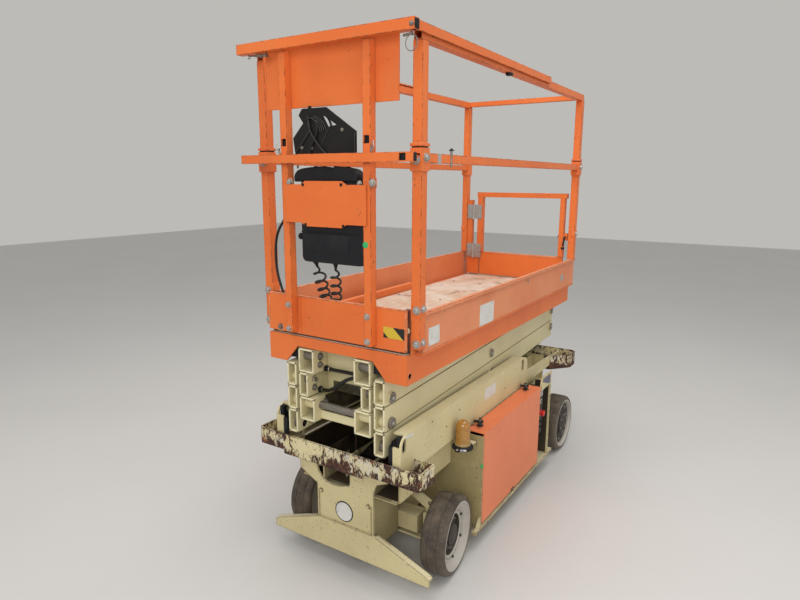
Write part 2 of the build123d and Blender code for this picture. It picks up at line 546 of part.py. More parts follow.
HOSE_R = 5.0
HOSE_ROWS = [
    # node, route of the hose from the post's inner side to the deck
    ("side_hose_front", [(865.0, -193.0, 1431.7), (865.0, -222.0, 1400.0), (862.0, -268.0, 1345.0), (858.0, -284.0, 1275.0), (856.0, -282.0, 1195.0), (852.0, -262.0, 1125.0), (848.0, -236.0, 1068.0), (845.0, -220.0, 1018.0), (844.0, -214.0, 971.3)]),
    ("side_hose_rear", [(850.0, -198.0, 1431.7), (848.0, -220.0, 1392.0), (840.0, -246.0, 1335.0), (834.0, -254.0, 1270.0), (832.0, -252.0, 1195.0), (828.0, -240.0, 1125.0), (824.0, -224.0, 1068.0), (820.0, -208.0, 1018.0), (818.0, -200.0, 971.3)]),
]


def tube_along(points, radius):
    """A round tube on straight runs joined by tangent arcs, each as large as its runs allow."""
    p = [Vector(*q) for q in points]
    radii = []
    for a, b, c in zip(p, p[1:], p[2:]):
        turn = math.radians((b - a).get_angle(c - b))
        radii.append(0.45 * min((b - a).length, (c - b).length) / math.tan(turn / 2))
    print("arc radii", [round(v) for v in radii], "runs", [round((b - a).length) for a, b in zip(p, p[1:])])
    path = FilletPolyline(*p, radius=radii)
    section = Plane(origin=p[0], z_dir=p[1] - p[0]) * Circle(radius)
    tube = sweep(section, path=path)
    print("tube volume", round(tube.volume), "section times length", round(math.pi * radius**2 * path.length), "length", round(path.length))
    return tube


ARM_HOSE_R = 7.0
ARM_HOSE = [
    (803.0, -71.7, 824.0), (803.0, -42.0, 824.0), (804.0, -8.0, 826.0), (803.0, 30.0, 825.5), (803.0, 60.0, 826.0),
    (818.0, 68.7, 824.0), (833.0, 60.0, 820.0), (830.0, 31.0, 809.0), (823.0, -6.0, 784.0), (815.0, -42.0, 757.0),
    (807.0, -76.0, 738.0), (802.0, -96.0, 733.0), (802.0, -111.0, 733.0),
]
keep("arm_hose", tube_along(ARM_HOSE, ARM_HOSE_R))

for name, points in HOSE_ROWS:
    keep(name, tube_along(points, HOSE_R) & bx((700, 950), (-400, 0), (971.3, 1431.7)))

for name, part in nodes.items():
    export_step(part, f"parts/{name}.step")
print(len(nodes), "nodes")
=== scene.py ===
import bpy
import bmesh
import math
from mathutils import Matrix, Vector


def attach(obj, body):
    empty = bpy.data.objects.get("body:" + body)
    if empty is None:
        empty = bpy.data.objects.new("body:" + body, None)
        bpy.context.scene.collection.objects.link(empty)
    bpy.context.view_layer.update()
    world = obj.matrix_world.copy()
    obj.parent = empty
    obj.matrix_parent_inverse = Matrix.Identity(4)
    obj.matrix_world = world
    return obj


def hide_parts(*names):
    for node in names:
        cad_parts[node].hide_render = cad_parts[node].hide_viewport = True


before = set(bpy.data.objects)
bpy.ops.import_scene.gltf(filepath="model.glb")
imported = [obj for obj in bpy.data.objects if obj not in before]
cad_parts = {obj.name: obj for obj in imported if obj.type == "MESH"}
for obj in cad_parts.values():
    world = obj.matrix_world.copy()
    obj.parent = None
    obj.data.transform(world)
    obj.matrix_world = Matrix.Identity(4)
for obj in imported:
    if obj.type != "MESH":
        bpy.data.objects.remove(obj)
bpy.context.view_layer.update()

SHIFT = 9.0                     # the CAD's drawing coordinates to the row frame, along X
LIFT = 18.0                     # and along Z


def P(x, y, z):
    """Millimetres of the CAD drawing to metres of the row frame."""
    return Vector(((x + SHIFT) / 1000, y / 1000, (z + LIFT) / 1000))


# ---------------------------------------------------------------- camera
cam_data = bpy.data.cameras.new("view_camera")
cam_data.sensor_width = 36.0
cam_data.lens = 26.775
cam_data.clip_start, cam_data.clip_end = 0.05, 60.0
camera = bpy.data.objects.new("view_camera", cam_data)
bpy.context.scene.collection.objects.link(camera)
right = Vector((-0.540, 0.842, 0.004)).normalized()
back = Vector((0.826, 0.528, 0.199)).normalized()
up = back.cross(right).normalized()
right = up.cross(back).normalized()
pose = Matrix((right, up, back)).transposed().to_4x4()
pose.translation = Vector((2.519, 1.338, 1.562))
camera.matrix_world = pose
bpy.context.scene.camera = camera


# ---------------------------------------------------------------- materials
class Shade:
    """A node material under construction."""

    def __init__(self, name):
        self.mat = bpy.data.materials.new(name)
        self.mat.use_nodes = True
        self.tree = self.mat.node_tree
        self.tree.nodes.clear()
        self.out = self.tree.nodes.new("ShaderNodeOutputMaterial")
        self.bsdf = self.tree.nodes.new("ShaderNodeBsdfPrincipled")
        self.tree.links.new(self.bsdf.outputs[0], self.out.inputs[0])
        self.coord = self.tree.nodes.new("ShaderNodeTexCoord").outputs["Object"]

    def put(self, socket, value):
        if hasattr(value, "is_linked") or isinstance(value, bpy.types.NodeSocket):
            self.tree.links.new(value, socket)
        elif isinstance(value, (tuple, list)) and len(value) == 3 and socket.type == "RGBA":
            socket.default_value = (*value, 1.0)
        else:
            socket.default_value = value

    def node(self, kind, **settings):
        n = self.tree.nodes.new(kind)
        for k, v in settings.items():
            setattr(n, k, v)
        return n

    def stretch(self, scale, rot=(0, 0, 0), vec=None):
        n = self.node("ShaderNodeMapping")
        self.put(n.inputs["Vector"], self.coord if vec is None else vec)
        n.inputs["Scale"].default_value = scale
        n.inputs["Rotation"].default_value = rot
        return n.outputs[0]

    def noise(self, scale, detail=4.0, rough=0.55, distort=0.0, vec=None):
        n = self.node("ShaderNodeTexNoise")
        self.put(n.inputs["Vector"], self.coord if vec is None else vec)
        n.inputs["Scale"].default_value = scale
        n.inputs["Detail"].default_value = detail
        n.inputs["Roughness"].default_value = rough
        n.inputs["Distortion"].default_value = distort
        return n.outputs["Fac"]

    def cells(self, scale, feature="F1", vec=None, random=1.0):
        n = self.node("ShaderNodeTexVoronoi", feature=feature)
        self.put(n.inputs["Vector"], self.coord if vec is None else vec)
        n.inputs["Scale"].default_value = scale
        n.inputs["Randomness"].default_value = random
        return n.outputs["Distance"]

    def math(self, op, a, b=0.0, clamp=False):
        n = self.node("ShaderNodeMath", operation=op, use_clamp=clamp)
        self.put(n.inputs[0], a)
        self.put(n.inputs[1], b)
        return n.outputs[0]

    def step(self, value, low, high):
        """0 below low, 1 above high, smooth between."""
        n = self.node("ShaderNodeMapRange", interpolation_type="SMOOTHSTEP")
        self.put(n.inputs[0], value)
        n.inputs[1].default_value, n.inputs[2].default_value = low, high
        return n.outputs[0]

    def mix(self, fac, a, b):
        n = self.node("ShaderNodeMix", data_type="RGBA")
        self.put(n.inputs[0], fac)
        self.put(n.inputs[6], a)
        self.put(n.inputs[7], b)
        return n.outputs[2]

    def blend_values(self, fac, a, b):
        n = self.node("ShaderNodeMix", data_type="FLOAT")
        self.put(n.inputs[0], fac)
        self.put(n.inputs[2], a)
        self.put(n.inputs[3], b)
        return n.outputs[0]

    def axis(self, which, vec=None):
        n = self.node("ShaderNodeSeparateXYZ")
        self.put(n.inputs[0], self.coord if vec is None else vec)
        return n.outputs[which]

    def facing_up(self):
        g = self.node("ShaderNodeNewGeometry")
        return self.axis(2, g.outputs["Normal"])

    def edges(self, radius=0.004):
        """1 on a sharp outer or inner edge, 0 on a flat."""
        b = self.node("ShaderNodeBevel", samples=4)
        b.inputs["Radius"].default_value = radius
        g = self.node("ShaderNodeNewGeometry")
        d = self.node("ShaderNodeVectorMath", operation="DOT_PRODUCT")
        self.put(d.inputs[0], b.outputs[0])
        self.put(d.inputs[1], g.outputs["True Normal"])
        return self.step(d.outputs["Value"], 0.995, 0.80)

    def rounded(self, radius):
        b = self.node("ShaderNodeBevel", samples=4)
        b.inputs["Radius"].default_value = radius
        return b.outputs[0]

    # ambient occlusion mask: marks nooks for painted shade
    def nook_shade(self, distance=0.05):
        n = self.node("ShaderNodeAmbientOcclusion", samples=4)
        n.inputs["Distance"].default_value = distance
        return self.step(n.outputs["AO"], 0.75, 0.25)

    def bump(self, height, strength=0.3, distance=0.001, normal=None):
        n = self.node("ShaderNodeBump")
        n.inputs["Strength"].default_value = strength
        n.inputs["Distance"].default_value = distance
        self.put(n.inputs["Height"], height)
        if normal is not None:
            self.put(n.inputs["Normal"], normal)
        return n.outputs[0]

    def finish(self, colour, rough, metallic=0.0, normal=None, **sockets):
        self.put(self.bsdf.inputs["Base Color"], colour)
        self.put(self.bsdf.inputs["Roughness"], rough)
        self.put(self.bsdf.inputs["Metallic"], metallic)
        if normal is not None:
            self.put(self.bsdf.inputs["Normal"], normal)
        for k, v in sockets.items():
            self.put(self.bsdf.inputs[k.replace("_", " ")], v)
        return self.mat


RUST_DARK, RUST_MID, RUST_WARM = (0.035, 0.016, 0.012), (0.10, 0.038, 0.020), (0.30, 0.12, 0.045)


def enamel(name, light, deep, faded, chips=0.5, edge=0.5, dirt_and_shade=0.5, streaks=False, floor_dirt=0.6, round_r=0.002, gloss=0.42, specks=0.0, nook_shade=None, dark_zones=()):
    """Sprayed paint on steel with chips, rusty edges, soiling and fading, each from 0 to 1, with painted shade in nooks
    and in given dark zones.
    """
    s = Shade(name)
    broad = s.noise(2.6, 3, 0.6)
    fine = s.noise(38.0, 5, 0.6)
    colour = s.mix(s.step(broad, 0.35, 0.68), light, deep)
    colour = s.mix(s.math("MULTIPLY", s.step(s.facing_up(), 0.6, 0.95), 0.55), colour, faded)
    # rubbed marks
    rubs = s.step(s.noise(9.0, 8, 0.72, 0.6, s.stretch((0.35, 0.35, 3.2))), 0.60, 0.74)
    colour = s.mix(s.math("MULTIPLY", rubs, 0.28), colour, faded)
    # soiling low down and in patches, and painted shade mixed with soiling in nooks
    z = s.axis(2)
    low = s.step(z, 0.62, 0.05)
    patches = s.step(s.noise(5.5, 6, 0.65, 0.4), 0.46, 0.78)
    grime_and_nook_shade = s.math("MULTIPLY", patches, dirt_and_shade * 0.38)
    cloud = s.step(s.noise(3.4, 7, 0.72, 0.8), 0.34, 0.72)
    grime_and_nook_shade = s.math("ADD", grime_and_nook_shade, s.math("MULTIPLY", s.math("MULTIPLY", low, cloud), floor_dirt * 0.6))
    # painted shade in nooks, in a brown tint, its amount growing with the soiling amount
    grime_and_nook_shade = s.math("ADD", grime_and_nook_shade, s.math("MULTIPLY", s.nook_shade(0.06), 0.42 * dirt_and_shade + 0.12 if nook_shade is None else nook_shade), True)
    soil_and_shade_tint = s.mix(s.step(s.noise(17.0, 3), 0.35, 0.7), (0.12, 0.088, 0.055), (0.23, 0.175, 0.11))
    colour = s.mix(grime_and_nook_shade, colour, soil_and_shade_tint)
    # chips down to rust
    size = s.noise(95.0, 6, 0.62)
    where = s.noise(11.0, 4, 0.6, 0.3)
    pits = s.math("MULTIPLY", s.step(size, 0.685 - 0.035 * chips, 0.70 - 0.035 * chips), s.step(where, 0.50, 0.60))
    rim = s.math("MULTIPLY", s.edges(0.0055), s.step(s.noise(34.0, 6, 0.7, 0.4), 0.70 - 0.36 * edge, 0.74 - 0.34 * edge))
    mask = s.math("MAXIMUM", pits, rim)
    if specks:
        dots = s.step(s.cells(95.0), 0.20, 0.13)
        crowd = s.step(s.noise(14.0, 5, 0.7, 0.4), 0.60 - 0.10 * specks, 0.66 - 0.10 * specks)
        mask = s.math("MAXIMUM", mask, s.math("MULTIPLY", dots, crowd))
    if streaks:
        # flakes that run down, more of them at the tray's ends and along its edges
        flake = s.noise(52.0, 9, 0.76, 0.9, s.stretch((1.0, 1.0, 0.5)))
        wide = s.noise(5.5, 4, 0.65)
        ends = s.step(s.math("ABSOLUTE", s.axis(1)), 0.16, 0.34)
        run = s.math("ADD", flake, s.math("MULTIPLY", s.math("SUBTRACT", wide, 0.5), 0.40))
        run = s.math("ADD", run, s.math("MULTIPLY", ends, 0.055))
        run = s.math("ADD", run, s.math("MULTIPLY", s.edges(0.014), 0.06))
        run = s.math("ADD", run, s.math("MULTIPLY", s.step(s.axis(2), 0.535, 0.500), 0.085))
        scuffed = s.math("MULTIPLY", s.step(s.noise(62.0, 8, 0.76, 0.5, s.stretch((1.0, 1.0, 0.7))), 0.47, 0.52), s.step(s.noise(4.2, 3, 0.6, 0.0, s.stretch((1.0, 1.0, 0.5))), 0.47, 0.56))
        colour = s.mix(s.math("MULTIPLY", scuffed, 0.75), colour, (0.56, 0.54, 0.49))
        mask = s.math("MAXIMUM", mask, s.step(run, 0.545, 0.560))
    # darken the given zones: painted shade in the well and between the arms
    for sides, tint, amount in dark_zones:
        black = None
        for axis, low, high in sides:
            edge_ = s.math("ABSOLUTE", s.axis(1)) if axis == 1 else s.axis(axis)
            inside = s.math("MULTIPLY", s.step(edge_, low - 0.004, low), s.step(edge_, high + 0.004, high))
            black = inside if black is None else s.math("MULTIPLY", black, inside)
        cover = s.math("ADD", amount * 0.72, s.math("MULTIPLY", s.noise(18.0, 7, 0.72, 0.5), amount * 0.56), True)
        colour = s.mix(s.math("MULTIPLY", black, cover), colour, tint)
    rust = s.mix(s.step(s.noise(60.0, 5, 0.7), 0.40, 0.66), RUST_DARK, RUST_MID)
    rust = s.mix(s.step(s.noise(23.0, 4, 0.7), 0.56, 0.74), rust, RUST_WARM)
    halo = s.math("MULTIPLY", s.step(s.math("ADD", size, s.math("MULTIPLY", where, 0.25)), 0.70, 0.80), 0.25 * chips)
    colour = s.mix(halo, colour, (0.34, 0.20, 0.09))
    colour = s.mix(mask, colour, rust)
    rough = s.blend_values(mask, s.blend_values(grime_and_nook_shade, gloss, 0.75), 0.88)
    height = s.math("SUBTRACT", s.math("MULTIPLY", fine, 0.10), mask)
    height = s.math("ADD", height, s.math("MULTIPLY", s.noise(420.0, 2, 0.5), 0.06))
    normal = s.bump(height, 0.55, 0.0006, s.rounded(round_r))
    return s.finish(colour, rough, 0.0, normal, Specular_IOR_Level=0.45)


def moulded(name, colour_a, colour_b, rough=0.55, grain=900.0, dust=0.14, depth=0.35, spec=0.28):
    s = Shade(name)
    colour = s.mix(s.noise(6.0, 4), colour_a, colour_b)
    veil = s.math("MULTIPLY", s.math("MULTIPLY", s.step(s.noise(14.0, 6, 0.7), 0.42, 0.8), s.step(s.facing_up(), -0.4, 0.9)), dust)
    colour = s.mix(veil, colour, (0.26, 0.23, 0.19))
    scratch = s.step(s.noise(60.0, 8, 0.75, 0.2, s.stretch((0.3, 0.3, 4.0), (0.4, 0.7, 0.2))), 0.66, 0.70)
    colour = s.mix(s.math("MULTIPLY", scratch, 0.25), colour, (0.19, 0.19, 0.19))
    r = s.blend_values(veil, s.blend_values(s.noise(40.0, 3), rough - 0.08, rough + 0.1), 0.9)
    normal = s.bump(s.math("ADD", s.noise(grain, 2, 0.5), s.math("MULTIPLY", scratch, -0.4)), depth, 0.0004, s.rounded(0.0015))
    return s.finish(colour, r, 0.0, normal, Specular_IOR_Level=spec)


def plated(name, colour_a=(0.50, 0.49, 0.46), colour_b=(0.33, 0.31, 0.28), rust=0.25, rough=0.42):
    s = Shade(name)
    colour = s.mix(s.noise(45.0, 5, 0.65), colour_a, colour_b)
    spots = s.math("MULTIPLY", s.step(s.noise(130.0, 5, 0.7), 0.62 - 0.1 * rust, 0.68 - 0.08 * rust), s.step(s.noise(18.0, 3), 0.42, 0.6))
    colour = s.mix(spots, colour, RUST_MID)
    # painted shade in nooks
    colour = s.mix(s.math("MULTIPLY", s.nook_shade(0.01), 0.5), colour, (0.08, 0.065, 0.05))
    r = s.blend_values(spots, s.blend_values(s.noise(90.0, 3), rough - 0.1, rough + 0.14), 0.85)
    metal = s.blend_values(spots, 0.85, 0.1)
    normal = s.bump(s.math("SUBTRACT", s.noise(260.0, 3), spots), 0.25, 0.0004, s.rounded(0.0008))
    return s.finish(colour, r, metal, normal)


CREAM_L, CREAM_D, CREAM_F = (0.64, 0.56, 0.315), (0.58, 0.50, 0.27), (0.70, 0.64, 0.43)
ORANGE_L, ORANGE_D, ORANGE_F = (0.78, 0.178, 0.036), (0.71, 0.148, 0.029), (0.74, 0.27, 0.125)
# zones darkened by a tint: ranges along the row's axes (the width is taken from the middle); in the well (with some
# oil) and between the arms the darkening is painted shade, by the compartments it is darker brown patches
WELL_SHADE = [(((0, 0.30, 0.790), (1, 0.0, 0.2310), (2, 0.43, 0.60)), (0.028, 0.020, 0.011), 1.0), (((0, 0.60, 0.802), (1, 0.0, 0.20), (2, 0.10, 0.43)), (0.10, 0.075, 0.035), 0.55)]
ARM_GAP_SHADE = [(((0, -0.70, 0.815), (1, 0.0, 0.0972), (2, 0.645, 0.775)), (0.030, 0.023, 0.013), 0.95)]
COMPARTMENT = [(((0, 0.3695, 0.3835), (1, 0.0, 0.384), (2, 0.0, 0.515)), (0.225, 0.165, 0.060), 0.62), (((0, -0.60, 0.45), (1, 0.30, 0.40), (2, 0.0, 0.088)), (0.20, 0.12, 0.05), 0.5)]
M = {}
M["cream"] = enamel("cream_paint_sound", CREAM_L, CREAM_D, CREAM_F, chips=0.3, edge=0.3, dirt_and_shade=0.35, floor_dirt=0.5, specks=0.5)
M["cream_grimy"] = enamel("cream_paint_grimy", CREAM_L, CREAM_D, CREAM_F, chips=0.6, edge=0.6, dirt_and_shade=0.35, floor_dirt=0.5, specks=0.8, dark_zones=COMPARTMENT)
M["cream_worn"] = enamel("cream_paint_worn", CREAM_L, CREAM_D, CREAM_F, chips=0.9, edge=0.95, dirt_and_shade=0.3, floor_dirt=0.22, specks=0.9, dark_zones=WELL_SHADE)
M["cream_battered"] = enamel("cream_paint_battered", (0.66, 0.58, 0.34), CREAM_D, CREAM_F, chips=1.0, edge=1.0, dirt_and_shade=0.5, floor_dirt=0.3, streaks=True, specks=0.6)
M["cream_arms"] = enamel("cream_paint_arms", (0.69, 0.62, 0.375), (0.64, 0.565, 0.325), CREAM_F, chips=0.2, edge=0.2, dirt_and_shade=0.25, floor_dirt=0.2, round_r=0.004, nook_shade=0.12, dark_zones=ARM_GAP_SHADE)
M["orange"] = enamel("orange_paint_sound", ORANGE_L, ORANGE_D, ORANGE_F, chips=0.3, edge=0.35, dirt_and_shade=0.22, floor_dirt=0.2, specks=0.25)
M["orange_rails"] = enamel("orange_paint_rails", ORANGE_L, ORANGE_D, ORANGE_F, chips=0.55, edge=0.6, dirt_and_shade=0.3, floor_dirt=0.2, specks=0.3)
# lighter orange of the toe boards; on their lips it is worn paint with painted highlight
M["orange_lip"] = enamel("orange_paint_lip", (0.74, 0.26, 0.115), (0.70, 0.20, 0.075), ORANGE_F, chips=0.55, edge=0.65, dirt_and_shade=0.3, floor_dirt=0.2, specks=0.3)
M["salmon"] = enamel("door_paint", (0.79, 0.235, 0.105), (0.76, 0.215, 0.09), (0.74, 0.18, 0.07), chips=0.25, edge=0.35, dirt_and_shade=0.12, floor_dirt=0.16, gloss=0.5, nook_shade=0.1, specks=0.2)
# lighter cream for the tube mouths' lips: painted highlight
M["cream_lip_highlight"] = enamel("cream_lip_painted_highlight", (0.76, 0.70, 0.47), (0.70, 0.63, 0.40), (0.78, 0.72, 0.52), chips=0.45, edge=0.3, dirt_and_shade=0.2, nook_shade=0.1)
M["rust"] = enamel("rusty_spot", (0.12, 0.05, 0.025), (0.07, 0.03, 0.018), (0.16, 0.075, 0.04), chips=0.6, edge=0.5, dirt_and_shade=0.6, gloss=0.8)
# orange darkened as painted shade
M["orange_painted_shade"] = enamel("shadowed_orange", (0.16, 0.035, 0.018), (0.10, 0.022, 0.012), (0.24, 0.07, 0.04), chips=0.4, edge=0.4, dirt_and_shade=0.6, gloss=0.6)
# near-black fill for places in deep shade: painted shade, with some oil
M["dark_shade_fill"] = enamel("oil_and_painted_shade", (0.030, 0.021, 0.010), (0.018, 0.012, 0.006), (0.07, 0.052, 0.028), chips=0.2, edge=0.1, dirt_and_shade=0.3, floor_dirt=0.3, gloss=0.7)
M["black"] = moulded("black_moulding", (0.006, 0.0065, 0.009), (0.011, 0.0115, 0.015))
M["black_metal"] = moulded("black_satin_metal", (0.006, 0.006, 0.006), (0.011, 0.010, 0.010), 0.42, 300.0, 0.12, 0.2)
M["rubber"] = moulded("cable_rubber", (0.006, 0.006, 0.0065), (0.011, 0.011, 0.011), 0.45, 1500.0, 0.12, 0.15, 0.4)
# grey wiring, lightened as painted sheen
M["wire"] = moulded("wiring_with_painted_sheen", (0.030, 0.028, 0.027), (0.085, 0.080, 0.076), 0.35, 700.0, 0.2, 0.2, 0.5)
M["steel"] = plated("zinc_steel", (0.58, 0.57, 0.55), (0.40, 0.385, 0.36))
M["steel_dull"] = plated("dull_steel", (0.36, 0.335, 0.30), (0.17, 0.15, 0.13), 0.34, 0.5)


def chrome():
    s = Shade("hard_chrome")
    lines = s.noise(300.0, 3, 0.5, 0.0, s.stretch((0.05, 1.0, 1.0)))
    colour = s.mix(s.step(s.noise(9.0, 3), 0.4, 0.8), (0.72, 0.72, 0.71), (0.48, 0.45, 0.40))
    r = s.blend_values(lines, 0.10, 0.24)
    return s.finish(colour, r, 1.0, s.bump(lines, 0.05, 0.0002))


M["chrome"] = chrome()


def plywood():
    s = Shade("deck_plywood")
    grain = s.noise(14.0, 8, 0.7, 1.2, s.stretch((0.6, 9.0, 1.0)))
    colour = s.mix(s.step(grain, 0.32, 0.70), (0.50, 0.31, 0.20), (0.68, 0.49, 0.36))
    worn = s.step(s.noise(4.0, 6, 0.7, 0.5), 0.38, 0.66)
    colour = s.mix(s.math("MULTIPLY", worn, 0.8), colour, (0.70, 0.63, 0.56))
    coat = s.step(s.noise(7.5, 7, 0.7, 0.3), 0.56, 0.63)
    colour = s.mix(s.math("MULTIPLY", coat, 0.55), colour, (0.22, 0.13, 0.09))
    dots = s.step(s.cells(140.0, random=0.15), 0.32, 0.22)
    colour = s.mix(s.math("MULTIPLY", dots, 0.18), colour, (0.16, 0.10, 0.07))
    # painted shade in nooks
    colour = s.mix(s.math("MULTIPLY", s.nook_shade(0.08), 0.6), colour, (0.10, 0.07, 0.05))
    height = s.math("ADD", s.math("MULTIPLY", dots, 0.5), s.math("MULTIPLY", grain, 0.4))
    return s.finish(colour, s.blend_values(worn, 0.62, 0.85), 0.0, s.bump(height, 0.4, 0.0008))


M["plywood"] = plywood()


def tyre_rubber():
    s = Shade("tyre_rubber")
    dust = s.step(s.noise(12.0, 6, 0.7, 0.3), 0.30, 0.68)
    colour = s.mix(dust, (0.036, 0.030, 0.024), (0.130, 0.100, 0.072))
    nicks = s.step(s.noise(80.0, 6, 0.7, 0.5), 0.60, 0.66)
    colour = s.mix(s.math("MULTIPLY", nicks, 0.5), colour, (0.20, 0.17, 0.135))
    colour = s.mix(s.math("MULTIPLY", s.step(s.axis(2), 0.17, 0.02), 0.45), colour, (0.17, 0.145, 0.115))
    scuffs = s.step(s.noise(30.0, 8, 0.75, 0.2, s.stretch((1.0, 0.25, 1.0))), 0.58, 0.68)
    colour = s.mix(s.math("MULTIPLY", scuffs, 0.35), colour, (0.14, 0.12, 0.10))
    height = s.math("SUBTRACT", s.math("MULTIPLY", s.noise(220.0, 4), 0.35), s.math("MULTIPLY", nicks, 0.8))
    return s.finish(colour, s.blend_values(dust, 0.62, 0.9), 0.0, s.bump(height, 0.5, 0.0012))


M["tyre"] = tyre_rubber()
M["rim"] = enamel("rim_paint", (0.47, 0.44, 0.40), (0.36, 0.33, 0.29), (0.55, 0.52, 0.48), chips=0.4, edge=0.2, dirt_and_shade=0.3, floor_dirt=0.15, gloss=0.55, nook_shade=0.05)
M["rim_edge"] = enamel("rim_edge_paint", (0.50, 0.475, 0.43), (0.38, 0.35, 0.31), (0.56, 0.53, 0.49), chips=0.5, edge=0.2, dirt_and_shade=0.3, floor_dirt=0.15, gloss=0.5, nook_shade=0.05)
M["rim_dark"] = enamel("hub_paint", (0.040, 0.034, 0.028), (0.022, 0.018, 0.015), (0.09, 0.078, 0.065), chips=0.4, edge=0.3, dirt_and_shade=0.3, floor_dirt=0.15, gloss=0.6)


def lens(name, colour, deep, rough=0.16):
    s = Shade(name)
    c = s.mix(s.step(s.noise(26.0, 4), 0.35, 0.7), colour, deep)
    haze = s.step(s.noise(50.0, 6, 0.7), 0.5, 0.8)
    c = s.mix(s.math("MULTIPLY", haze, 0.15), c, (0.6, 0.45, 0.25))
    r = s.blend_values(haze, rough, 0.45)
    m = s.finish(c, r, 0.0, s.bump(s.noise(160.0, 3), 0.08, 0.0004), Transmission_Weight=0.45, Coat_Weight=0.4)
    return m


M["amber"] = lens("amber_lens", (0.66, 0.33, 0.055), (0.54, 0.25, 0.035))
M["amber_pale"] = lens("amber_lens_pale", (0.62, 0.43, 0.17), (0.52, 0.34, 0.12))
M["red"] = moulded("red_button", (0.62, 0.015, 0.01), (0.50, 0.012, 0.01), 0.3, 600.0, 0.2, 0.1)


def label(name, paper, print_colour=None, lines=0.0):
    """A blank sticker, a little dirty; the plain border colour (print_colour) is not used."""
    s = Shade(name)
    c = s.mix(s.step(s.noise(30.0, 5, 0.7), 0.45, 0.8), paper, tuple(0.72 * v for v in paper))
    scr = s.step(s.noise(90.0, 7, 0.75, 0.4), 0.60, 0.66)
    c = s.mix(s.math("MULTIPLY", scr, 0.35), c, (0.24, 0.20, 0.15))
    return s.finish(c, s.blend_values(scr, 0.38, 0.8), 0.0, s.bump(s.noise(200.0, 3), 0.1, 0.0003))


M["label_white"] = label("label_white", (0.66, 0.65, 0.62))
M["label_grey"] = label("label_grey", (0.36, 0.36, 0.35))
M["label_green"] = label("label_green", (0.03, 0.42, 0.13))
M["label_blue"] = label("label_blue", (0.12, 0.20, 0.36))
M["label_yellow"] = label("roller_plastic", (0.72, 0.64, 0.36))
M["label_black"] = label("label_black", (0.012, 0.012, 0.013))
M["label_dark"] = label("label_dark", (0.10, 0.085, 0.14))


def hazard():
    s = Shade("hazard_stripes")
    y, z = s.axis(1), s.axis(2)
    # one wide yellow band between two black corners
    across = s.math("ADD", s.math("SUBTRACT", y, 0.224), s.math("MULTIPLY", s.math("SUBTRACT", z, 1.029), 1.08))
    band = s.math("MULTIPLY", s.step(across, 0.0205, 0.0215), s.step(across, 0.0815, 0.0805))
    c = s.mix(band, (0.010, 0.010, 0.012), (0.60, 0.43, 0.035))
    worn = s.step(s.noise(55.0, 7, 0.75, 0.4), 0.56, 0.62)
    c = s.mix(s.math("MULTIPLY", worn, 0.6), c, (0.45, 0.22, 0.08))
    return s.finish(c, s.blend_values(worn, 0.4, 0.75), 0.0, s.bump(worn, 0.2, 0.0003))


M["hazard"] = hazard()


def paint_node(node, mat):
    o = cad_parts[node]
    o.data.materials.clear()
    o.data.materials.append(M[mat])


NODE_PAINT = {
    "cream_grimy": ["compartment_frames"],
    "cream": ["side_rails", "front_axle", "knuckle_left", "knuckle_right", "lift_mounts", "rear_body", "ladder"],
    "cream_worn": ["front_column", "front_guard"],
    "cream_battered": ["front_bumper", "rear_bumper"],
    "cream_arms": ["inner_frame_1", "inner_frame_2", "inner_frame_3", "outer_arms_1", "outer_arms_2", "outer_arms_3"],
    "orange": ["deck_frame", "extension_panels", "extension_deck", "post_sleeves"],
    "orange_rails": ["main_posts", "main_rails", "extension_posts", "extension_rails", "gate"],
    "orange_lip": ["side_toe_boards"],
    "salmon": ["battery_door_left", "battery_door_right"],
    "steel": ["gate_hinges", "gate_hinge_leaves"],
    "steel_dull": ["front_cross_rod"],
    "black": ["slide_blocks", "top_slide_blocks", "door_latches_left", "door_latches_right", "control_box", "ground_controls", "battery_and_pump_blocks"],
    "black_metal": ["control_bracket", "drive_motors", "cylinder_barrel"],
    "rubber": ["curly_cord_left", "curly_cord_right", "side_hose_front", "side_hose_rear"],
    "tyre": ["tyre_front_left", "tyre_front_right", "tyre_rear_left", "tyre_rear_right"],
    "rim": ["rim_front_left", "rim_front_right"],
    "rim_dark": ["rim_rear_left", "rim_rear_right"],
    "plywood": ["deck_floor"],
    "amber": ["beacon"],
    "red": ["stop_button"],
    "chrome": ["cylinder_rod"],
}
for mat, names in NODE_PAINT.items():
    for node in names:
        paint_node(node, mat)

# ---------------------------------------------------------------- making pieces
scene = bpy.context.scene


